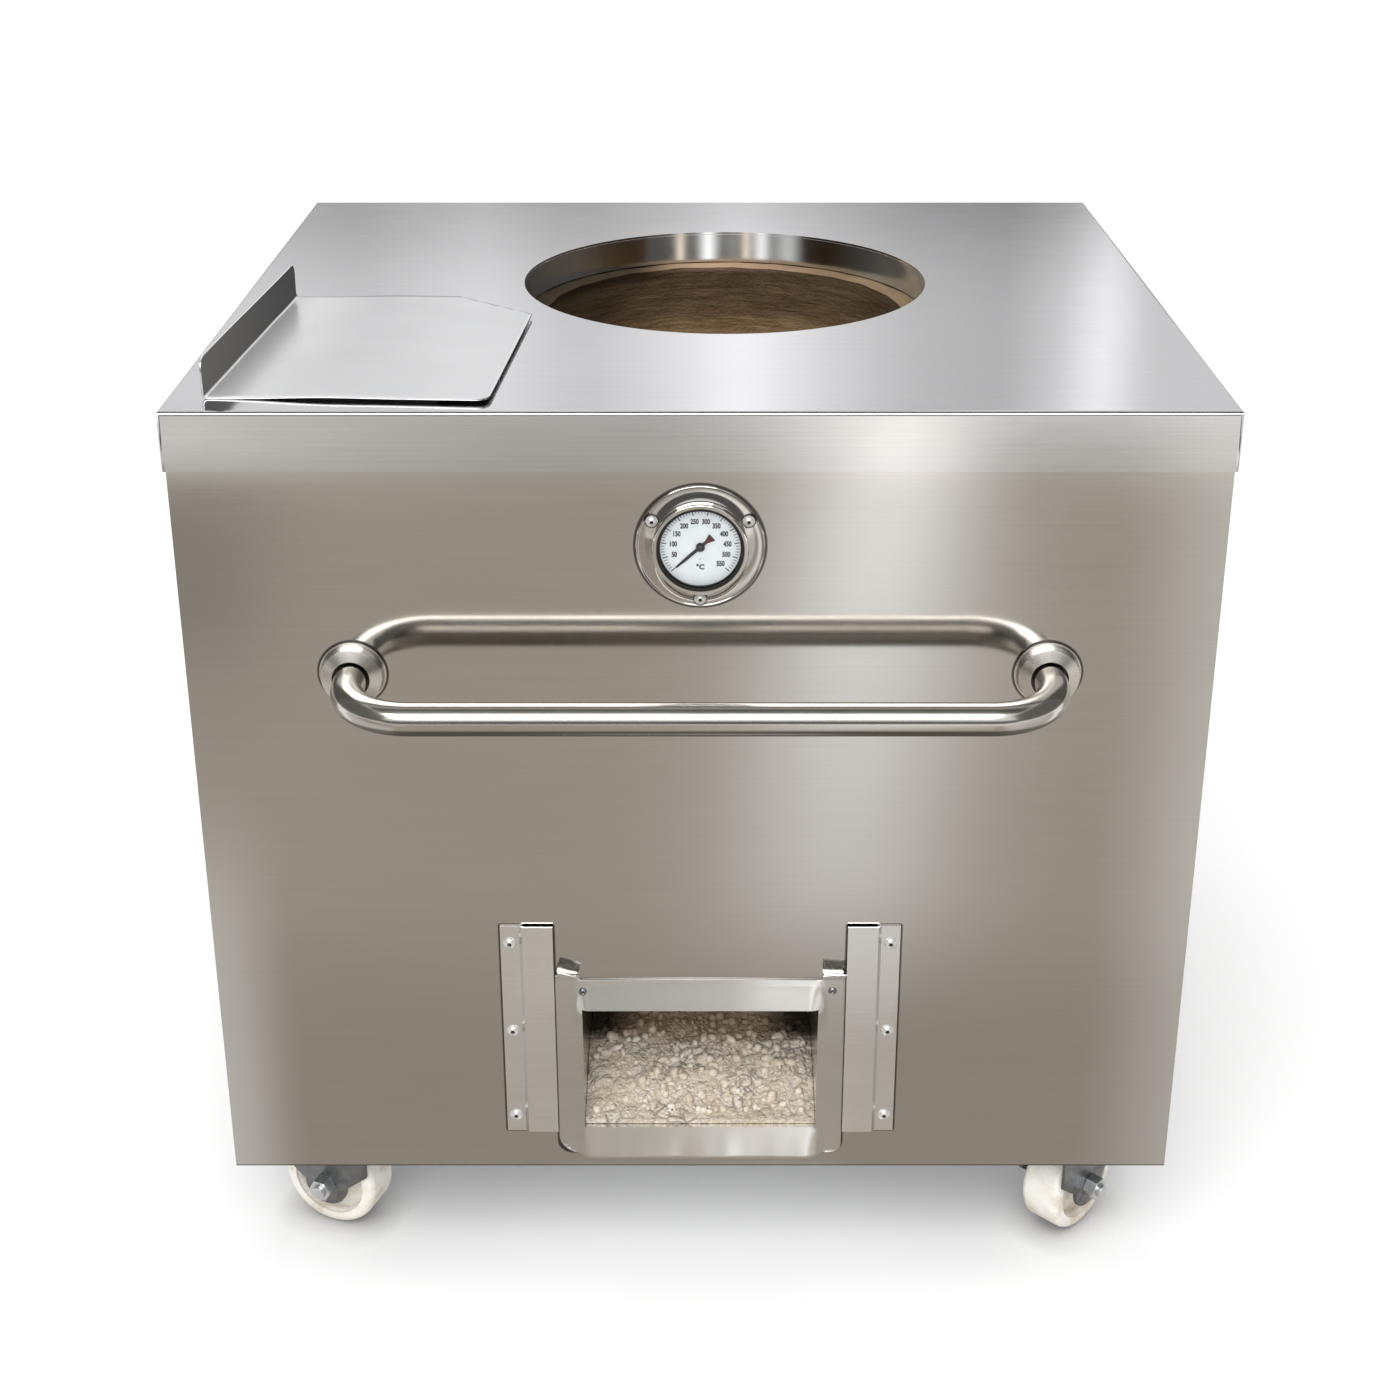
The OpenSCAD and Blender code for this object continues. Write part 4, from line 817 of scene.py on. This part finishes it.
ash = {"cell": 0.0026, "from": 0.003, "heapR": 0.241, "heapEdge": 0.002, "halfWide": 0.0972, "floor": 0.1425,
       "sill": 0.1445, "sillTo": 0.13, "straightTo": 0.16, "least": 0.0012, "fall": 0.010,
       "fallOut": (0.12, 0.23), "fallBack": (0.2, 0.3), "swell": 0.0055, "rough": 0.0030, "grain": 0.0012,
       "heights": ((0, 0.148), (0.02, 0.1515), (0.051, 0.162), (0.085, 0.169), (0.105, 0.166), (0.135, 0.160),
                   (0.25, 0.172), (0.38, 0.187), (0.7, 0.165)),  # distance behind the front panel, height
       "stones": 900, "seed": 7, "pebble": 0.0022, "stoneHalf": 0.091, "stoneFrom": 0.012, "stoneTo": 0.15,
       "stonePotR": 0.215, "stoneLeast": 0.0014, "stoneMore": 0.0042, "stoneRough": 0.0003,
       "bareUnder": -0.22, "bareOf": 0.0034}  # some spots have only stones of this size or more


def ashHeight(x, y):
    d = y - panelY
    toPot = math.hypot(x - potX, y - potY)
    fall = ash["fall"] * smooth(toPot, *ash["fallOut"]) * smooth(d, *ash["fallBack"])
    z = between(d, ash["heights"]) - fall
    p = Vector((x, y, 0))
    z += ash["swell"] * noise.noise(p * 17 + Vector((3, 1, 0))) * smooth(d, 0.01, 0.06)
    z += ash["rough"] * noise.noise(p * 62) * smooth(d, 0.0, 0.02) + ash["grain"] * noise.noise(p * 190)
    near = noise.voronoi(p * 150 + Vector((0, 0, 0.4)))[0][0]
    z += ash["pebble"] * max(0, 1 - (near / 0.55) ** 2) * smooth(d, 0.004, 0.02)
    return max(z, ash["sill"] + ash["least"])


def makeAsh():
    bm = bmesh.new()
    low = Vector((potX - ash["heapR"], panelY + ash["from"]))
    high = Vector((potX + ash["heapR"], potY + ash["heapR"]))
    across = round((high.x - low.x) / ash["cell"])
    deep = round((high.y - low.y) / ash["cell"])
    bmesh.ops.create_grid(bm, x_segments=across, y_segments=deep, size=0.5)
    for v in bm.verts:
        v.co.x = low.x + (v.co.x + 0.5) * (high.x - low.x)
        v.co.y = low.y + (v.co.y + 0.5) * (high.y - low.y)
    gone = []
    for f in bm.faces:
        c = f.calc_center_median()
        inPot = math.hypot(c.x - potX, c.y - potY) < ash["heapR"] - ash["heapEdge"]
        inTunnel = abs(c.x) < ash["halfWide"] and c.y < potY
        if not (inPot or inTunnel):
            gone.append(f)
    bmesh.ops.delete(bm, geom=gone, context="FACES")
    for v in bm.verts:  # straight sides along the tunnel
        beside = abs(v.co.x) > ash["halfWide"] - ash["cell"] and v.co.y < panelY + ash["straightTo"]
        if beside and v.is_boundary:
            v.co.x = math.copysign(ash["halfWide"], v.co.x)
    for v in bm.verts:
        v.co.z = ashHeight(v.co.x, v.co.y)
    rim = [e for e in bm.edges if e.is_boundary]
    for v in pointsIn(bmesh.ops.extrude_edge_only(bm, edges=rim)["geom"]):
        v.co.z = ash["sill"] if v.co.y < panelY + ash["sillTo"] else ash["floor"]
    bmesh.ops.holes_fill(bm, edges=[e for e in bm.edges if e.is_boundary], sides=0)
    bmesh.ops.recalc_face_normals(bm, faces=bm.faces)
    addPiece("ash_crust", bm, "ash", "cabinet", ["ash_bed"], 60)


def makeStones():  # three in four lie in the tunnel, the rest in the pot
    rng = random.Random(ash["seed"])
    stones = bmesh.new()
    for i in range(ash["stones"]):
        if i % 4:
            x = rng.uniform(-ash["stoneHalf"], ash["stoneHalf"])
            y = panelY + rng.uniform(ash["stoneFrom"], ash["stoneTo"])
        else:
            turn, out = rng.uniform(0, math.tau), ash["stonePotR"] * math.sqrt(rng.random())
            x, y = potX + out * math.cos(turn), potY + out * math.sin(turn)
        size = ash["stoneLeast"] + ash["stoneMore"] * rng.random() ** 3
        if noise.noise(Vector((x * 22, y * 22, 4))) < ash["bareUnder"] and size < ash["bareOf"]:
            continue
        bmesh.ops.create_icosphere(stones, subdivisions=1, radius=size, matrix=Matrix.Translation(
            (x, y, ashHeight(x, y) + size * rng.uniform(-0.15, 0.35))) @ Matrix.Rotation(
            rng.uniform(0, 6), 4, Vector((rng.random(), rng.random(), 0.4))) @ Matrix.Diagonal(
            (rng.uniform(0.8, 1.5), rng.uniform(0.7, 1.1), rng.uniform(0.55, 0.9), 1)))
    for v in stones.verts:
        v.co += Vector((rng.uniform(-1, 1), rng.uniform(-1, 1), rng.uniform(-1, 1))) * ash["stoneRough"]
    addPiece("ash_stones", stones, "stones", "cabinet", (), 55)


makeAsh()
makeStones()
print("ash made")


# clay pot: thrown by hand, so its wall is a spun section with lumps

pot = {"belly": 0.285, "neck": 0.183, "foot": 0.262, "wall": 0.018, "rise": 0.200, "lip": 0.751,
       "windowHead": 0.2675, "windowHalf": 0.1015, "steps": 192, "upperCells": 76, "lowerCells": 12,
       "lumps": 0.0032, "lipEdge": 0.0005, "lipWear": 0.0004, "lipWaves": 0.0022}


def potRadius(z, inset):
    bellyZ = potLow.z + pot["rise"]
    sag, rise = ((pot["belly"] - pot["neck"], pot["lip"] - bellyZ) if z > bellyZ
                 else (pot["belly"] - pot["foot"], bellyZ - potLow.z))
    arc = (sag * sag + rise * rise) / (2 * sag)
    return pot["belly"] - arc + math.sqrt((arc - inset) ** 2 - (z - bellyZ) ** 2)


def turnPot(zs, turn, angle, whole):
    bm = bmesh.new()
    ring = [bm.verts.new((potRadius(z, 0), 0, z)) for z in zs]
    ring += [bm.verts.new((potRadius(z, pot["wall"]), 0, z)) for z in reversed(zs)]
    section = [bm.edges.new((a, b)) for a, b in zip(ring, ring[1:] + ring[:1])]
    if not whole:
        bm.faces.new(ring)
    bmesh.ops.rotate(bm, verts=bm.verts, matrix=Matrix.Rotation(turn, 3, "Z"))
    steps = round(pot["steps"] * angle / math.tau)
    geom = section if whole else bm.verts[:] + bm.edges[:] + bm.faces[:]
    bmesh.ops.spin(bm, geom=geom, cent=(0, 0, 0), axis=(0, 0, 1), angle=angle, steps=steps, use_merge=whole)
    bmesh.ops.remove_doubles(bm, verts=bm.verts, dist=0.00002)
    bmesh.ops.recalc_face_normals(bm, faces=bm.faces)
    bm.normal_update()
    for v in bm.verts:
        p = v.co.copy()
        lump = 0.7 * noise.noise(p * 13) + 0.4 * noise.noise(p * 34) + 0.16 * noise.noise(p * 95)
        shrink = 1 - lump * pot["lumps"] / max(0.05, Vector((p.x, p.y, 0)).length)
        inside = Vector((p.x, p.y, 0)).length < potRadius(p.z, pot["wall"] / 2)
        if inside:
            v.co.x, v.co.y = p.x * shrink, p.y * shrink
        if p.z > pot["lip"] - pot["lipEdge"]:
            v.co.z -= pot["lipWear"] + pot["lipWaves"] * abs(noise.noise(p * 19))
    bmesh.ops.translate(bm, vec=(potX, potY, 0), verts=bm.verts)
    return bm


def makePot():
    head = pot["windowHead"]
    upper = [head + (pot["lip"] - head) * i / pot["upperCells"] for i in range(pot["upperCells"] + 1)]
    bm = turnPot(upper, 0, math.tau, True)
    addPiece("clay_pot_wall", bm, "clay", "cabinet", ["clay_pot"], 50)
    inner = potRadius(head, pot["wall"])
    right = math.asin((pot["windowHalf"] - potX) / inner)
    left = math.asin((pot["windowHalf"] + potX) / inner)
    lower = [potLow.z + (head - potLow.z) * i / pot["lowerCells"] for i in range(pot["lowerCells"] + 1)]
    start = -math.pi / 2 + right
    bm = turnPot(lower, start, math.tau - right - left, False)
    addPiece("clay_pot_foot", bm, "clay", "cabinet", (), 50)


makePot()
print("pot made")


# print on the dial and the needle's details

def onDial(angle, out):
    a = math.radians(angle)
    return Vector((out * math.cos(a), dialY, gaugeZ + out * math.sin(a)))


def letterMesh(bm, words, size, at, narrow):
    curve = bpy.data.curves.new("numeral", "FONT")
    curve.body, curve.size, curve.align_x, curve.align_y = words, size, "CENTER", "CENTER"
    curve.resolution_u, curve.offset = 3, dial["bold"]
    holder = bpy.data.objects.new("numeral", curve)
    scene.collection.objects.link(holder)
    bpy.context.view_layer.update()
    mesh = bpy.data.meshes.new_from_object(holder)
    mesh.transform(Matrix.Translation(at) @ Matrix.Rotation(math.radians(90), 4, "X")
                   @ Matrix.Diagonal((narrow, 1, 1, 1)))
    bm.from_mesh(mesh)
    bpy.data.objects.remove(holder)
    bpy.data.curves.remove(curve)
    bpy.data.meshes.remove(mesh)


def makePrint(d):
    bm = bmesh.new()
    for i in range((d["marks"] - 1) * d["parts"] + 1):
        angle = d["from"] - i * d["step"] / d["parts"]
        long, wide = (d["short"], d["shortWide"]) if i % d["parts"] else (d["long"], d["longWide"])
        place = Matrix.Translation(onDial(angle, d["radius"] - long / 2)) @ Matrix.Rotation(
            math.radians(-angle), 4, "Y") @ Matrix.Rotation(math.radians(90), 4, "X")
        bmesh.ops.create_grid(bm, x_segments=1, y_segments=1, size=0.5,
                              matrix=place @ Matrix.Diagonal((long, wide, 1, 1)))
    for i in range(1, d["marks"]):
        at = onDial(d["from"] - i * d["step"], d["numberAt"])
        letterMesh(bm, str(d["first"] * i), d["number"], at, d["narrow"])
    letterMesh(bm, "°C", d["unit"], Vector((0, dialY, gaugeZ - d["unitAt"])), 1)
    place = Matrix.Translation((0, dialY, gaugeZ - d["dotAt"])) @ Matrix.Rotation(math.radians(90), 4, "X")
    bmesh.ops.create_circle(bm, cap_ends=True, segments=10, radius=d["dot"], matrix=place)
    addPiece("dial_print", bm, "ink", "cabinet", ())


def makeCap(d):
    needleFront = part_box("gauge_needle")[0].y
    bm = bmesh.new()
    bmesh.ops.create_circle(bm, cap_ends=True, segments=28, radius=d["cap"], matrix=Matrix.Translation(
        (0, needleFront, gaugeZ)) @ Matrix.Rotation(math.radians(90), 4, "X"))
    made = bmesh.ops.extrude_face_region(bm, geom=bm.faces[:])["geom"]
    bmesh.ops.translate(bm, vec=(0, -d["capHigh"], 0), verts=pointsIn(made))
    bmesh.ops.recalc_face_normals(bm, faces=bm.faces)
    front = [e for e in bm.edges if all(v.co.y < needleFront - d["capHigh"] / 2 for v in e.verts)]
    bmesh.ops.bevel(bm, geom=front, offset=d["capRound"], segments=3, profile=0.5, affect="EDGES",
                    material=-1)
    addPiece("needle_cap", bm, "hub_cap", "needle", ())


makePrint(dial)
makeCap(dial)
print("dial printed")


# floor, light and reflection cards

stage = {"world": 0.74, "sun": 2.0, "sunTurn": (42, 0, -12), "floor": (0.99, 0.99, 0.99), "glow": 0.08,
         "sunSpread": 50, "floorSize": 40, "shadeReach": (0.16, 0.03), "shadeSamples": 4}


def backdropRays(wire):  # camera, mirror and glass rays see the plain white
    rays = [wire.node("ShaderNodeLightPath", {}, {}, out=name)
            for name in ("Is Camera Ray", "Is Glossy Ray", "Is Transmission Ray")]
    return rays[0].math("MAXIMUM", rays[0].math("MAXIMUM", rays[0], rays[1]), rays[2])


def makeFloor():
    bm = bmesh.new()
    bmesh.ops.create_grid(bm, x_segments=2, y_segments=2, size=stage["floorSize"])
    floor = newObject("floor", bm)
    made, out, place = startFinish("floor_white")
    seen = backdropRays(place)
    glow = place.node("ShaderNodeEmission", {}, {"Color": (1, 1, 1, 1), "Strength": seen})
    dim = [place.node("ShaderNodeAmbientOcclusion", {"samples": stage["shadeSamples"]}, {"Distance": reach},
                      out="AO") for reach in stage["shadeReach"]]
    # painted contact shadow: ambient occlusion darkens the floor's colour near the object and round the
    # wheels
    level = (0.76 + ease(dim[0], 0.25, 0.75) * 0.24) * (0.25 + dim[1] * 0.75)
    paper = place.node("ShaderNodeBsdfDiffuse", {}, {"Color": blendColour(level, (0, 0, 0), stage["floor"])})
    closeFinish(out, place.node("ShaderNodeMixShader", {}, {0: stage["glow"], 1: paper, 2: glow}))
    floor.data.materials.append(made)


def makeCard(name, low, high, level):  # a flat studio card that only mirror rays see
    bm = bmesh.new()
    flat = next(i for i in range(3) if low[i] == high[i])
    ends = []
    for first, second in ((low, low), (high, low), (high, high), (low, high)):
        u, v = [i for i in range(3) if i != flat]
        ends.append(bm.verts.new([{u: first[u], v: second[v], flat: low[flat]}[i] for i in range(3)]))
    bm.faces.new(ends)
    card = newObject(name, bm)
    made, out, place = startFinish(name)
    colour = level(place)
    closeFinish(out, place.node("ShaderNodeEmission", {}, {
        "Color": colour if isinstance(colour, Wire) else (*colour, 1), "Strength": 1.0}))
    made.cycles.emission_sampling = "NONE"
    card.data.materials.append(made)
    card.visible_camera = card.visible_diffuse = card.visible_shadow = card.visible_transmission = False


def bump(value, centre, width):  # a soft band
    off = (value - centre) * (1 / width)
    return off.math("EXPONENT", -1 * off ** 2)


frontCard = {"eye": 1.467, "warm": (0.477, 0.437, 0.386), "bright": (1.20, 1.21, 1.22),
             "near": (0.83, 0.82, 0.81), "glintLeft": (1.40, 1.38, 1.34), "glintRight": (1.95, 1.93, 1.88),
             "corner": (0.74, 0.74, 0.75), "skirt": (2.04, 2.0, 1.86), "upperLeft": (0.74, 0.71, 0.67),
             "upperRight": (1.25, 1.23, 1.19)}
wallCard = {"half": 2.4, "white": (1.99, 1.99, 2.01), "brightUp": (1.76, 2.14)}
shades = {"mouth": (0.115, 0.11, 0.10), "lamp": (2.1, 2.1, 2.05), "warmLamp": (2.2, 1.85, 1.5),
          "roofFront": (0.10, 0.095, 0.09), "roofBack": (0.42, 0.41, 0.40), "behind": (0.13, 0.125, 0.12),
          "side": (0.16, 0.155, 0.15)}

# bands of light on the cards: place across and level
skirtLevels = ((0.0, 0.90), (0.06, 0.85), (0.2, 0.64), (0.32, 0.54), (0.45, 0.53), (0.53, 0.60),
               (0.574, 0.78), (0.62, 1.04), (0.675, 1.55), (0.711, 1.46), (0.757, 0.80), (0.81, 0.55),
               (0.90, 0.62), (0.97, 0.92))
wallLevels = ((-2.4, 0.80), (-1.9, 0.84), (-1.4, 0.91), (-1.12, 0.80), (-0.82, 0.98), (-0.72, 1.04),
              (-0.47, 0.84), (-0.34, 0.82), (-0.07, 1.06), (0.135, 1.33), (0.405, 0.97), (0.677, 0.72),
              (1.015, 0.60), (1.2, 0.82), (1.35, 1.32), (1.5, 0.80), (1.69, 0.82), (2.0, 0.80))

# lamps on the card in the mouth: middle, half width and strength
mouthLamps = ((0.047, 0.011, 0.95), (-0.039, 0.011, 0.82), (0.010, 0.008, 0.14), (-0.100, 0.030, 0.36))
warmLamps = ((0.096, 0.006, 0.95), (-0.012, 0.005, 0.85))


def frontFloor(place):
    f = frontCard
    x, y = split(place)[:2]
    seen = x * f["eye"] * (panelY + f["eye"] - y) ** -1      # where the panel shows this spot to the camera
    off = (seen - 0.090 + y * 0.0225) * (0.111 + y * 0.02) ** -1
    streak = off.math("EXPONENT", -1 * off * off) * (0.5 + 0.5 * ease(y, -0.8, -2.2)) * ease(y, -0.60, -1.0)
    ends = ease(seen, 0.31, 0.42) * 0.38 + ease(seen, -0.33, -0.40) * ease(y, -1.25, -0.55) * 0.5
    glint = (1 - ease(abs(seen), 0.10, 0.135)) * ease(y, -0.44, -0.36)
    panel = blendColour(streak + ends, f["warm"], f["bright"])
    panel = blendColour(1 - ease(y, -0.60, -0.95), panel, f["near"], "MULTIPLY")
    panel = blendColour(glint, panel, blendColour(ease(seen, -0.04, 0.07), f["glintLeft"], f["glintRight"]))
    corner = ease(seen, -0.28, -0.38) * ease(y, -1.2, -1.8)
    panel = blendColour(corner, panel, f["corner"], "MULTIPLY")
    skirt = seen.node("ShaderNodeValToRGB", {"stops": [(at, (level / 2,) * 3) for at, level in skirtLevels]},
                      {0: (seen + 0.4) * 1.25})
    skirt = blendColour(skirt, (0, 0, 0), f["skirt"])
    upper = blendColour(ease(seen, -0.03, 0.06), f["upperLeft"], f["upperRight"])
    skirt = blendColour(ease(y, -2.70, -2.82), skirt, upper)
    return blendColour(ease(y, -2.31, -2.34), panel, skirt)


def backWall(place):
    x, y, z = split(place)
    half = wallCard["half"]
    stops = [((at + half) / (2 * half), (level / 2,) * 3) for at, level in wallLevels]
    level = x.node("ShaderNodeValToRGB", {"stops": stops}, {0: (x + half) * (0.5 / half)})
    level = level * (0.50 + 0.50 * ease(z, *wallCard["brightUp"]))
    return blendColour(level, (0, 0, 0), wallCard["white"])


def mouthCard(place):  # lamps as the back of the collar shows them
    x = split(place)[0]
    level, warm = [sum(bump(x, at, wide) * strength for at, wide, strength in lamps)
                   for lamps in (mouthLamps, warmLamps)]
    colour = blendColour(level, shades["mouth"], shades["lamp"])
    return blendColour(warm, colour, shades["warmLamp"])


def roofCard(place):  # dimmer over the front half
    return blendColour(ease(split(place)[1], -0.25, 0.0), shades["roofFront"], shades["roofBack"])


def behindCard(place):
    return shades["behind"]


def sideCard(place):
    return shades["side"]


mouthY = potY - 0.06
cards = {"card_front": ((-4, -4.4, 0.002), (4, -0.2, 0.002), frontFloor),
         "card_back": ((-6, 5, 0.4), (6, 5, 5.0), backWall),
         "card_roof": ((-2.2, -1.9, 3.2), (2.2, 1.4, 3.2), roofCard),
         "card_behind": ((-3.5, -4.6, 0.0), (3.5, -4.6, 1.5), behindCard),
         "card_mouth": ((-0.148, mouthY, 0.60), (0.192, mouthY, 0.76), mouthCard),
         "card_left": ((-3.4, -4.6, 0.3), (-3.4, 2.5, 4.5), sideCard),
         "card_right": ((3.4, -4.6, 0.3), (3.4, 2.5, 4.5), sideCard)}


def makeStage():
    makeFloor()
    for name, (low, high, level) in cards.items():
        makeCard(name, low, high, level)
    world = bpy.data.worlds.new("studio")
    world.use_nodes = True
    tree = world.node_tree
    tree.nodes.clear()
    out = tree.nodes.new("ShaderNodeOutputWorld")
    start = Wire(tree.nodes.new("ShaderNodeLightPath").outputs[0])
    seen = backdropRays(start)
    sky = start.node("ShaderNodeBackground", {}, {"Color": (1, 1, 1, 1),
                                                  "Strength": stage["world"] + seen * (1 - stage["world"])})
    tree.links.new(sky.socket, out.inputs["Surface"])
    scene.world = world
    lamp = bpy.data.lights.new("soft_sun", "SUN")
    lamp.energy, lamp.angle = stage["sun"], math.radians(stage["sunSpread"])
    sun = bpy.data.objects.new("soft_sun", lamp)
    sun.rotation_euler = [math.radians(a) for a in stage["sunTurn"]]
    scene.collection.objects.link(sun)


makeStage()
scene.view_settings.view_transform = "Standard"

view = {"at": (-0.0002, frontY - 1.46435, 1.2612), "tilt": 67.806, "lens": 53.97, "shift": -0.10}
lens = bpy.data.cameras.new("camera")
lens.sensor_width, lens.lens, lens.shift_y = 36, view["lens"], view["shift"]
camera = bpy.data.objects.new("camera", lens)
camera.location, camera.rotation_euler = view["at"], (math.radians(view["tilt"]), 0, 0)
scene.collection.objects.link(camera)
scene.camera = camera
print("stage set")
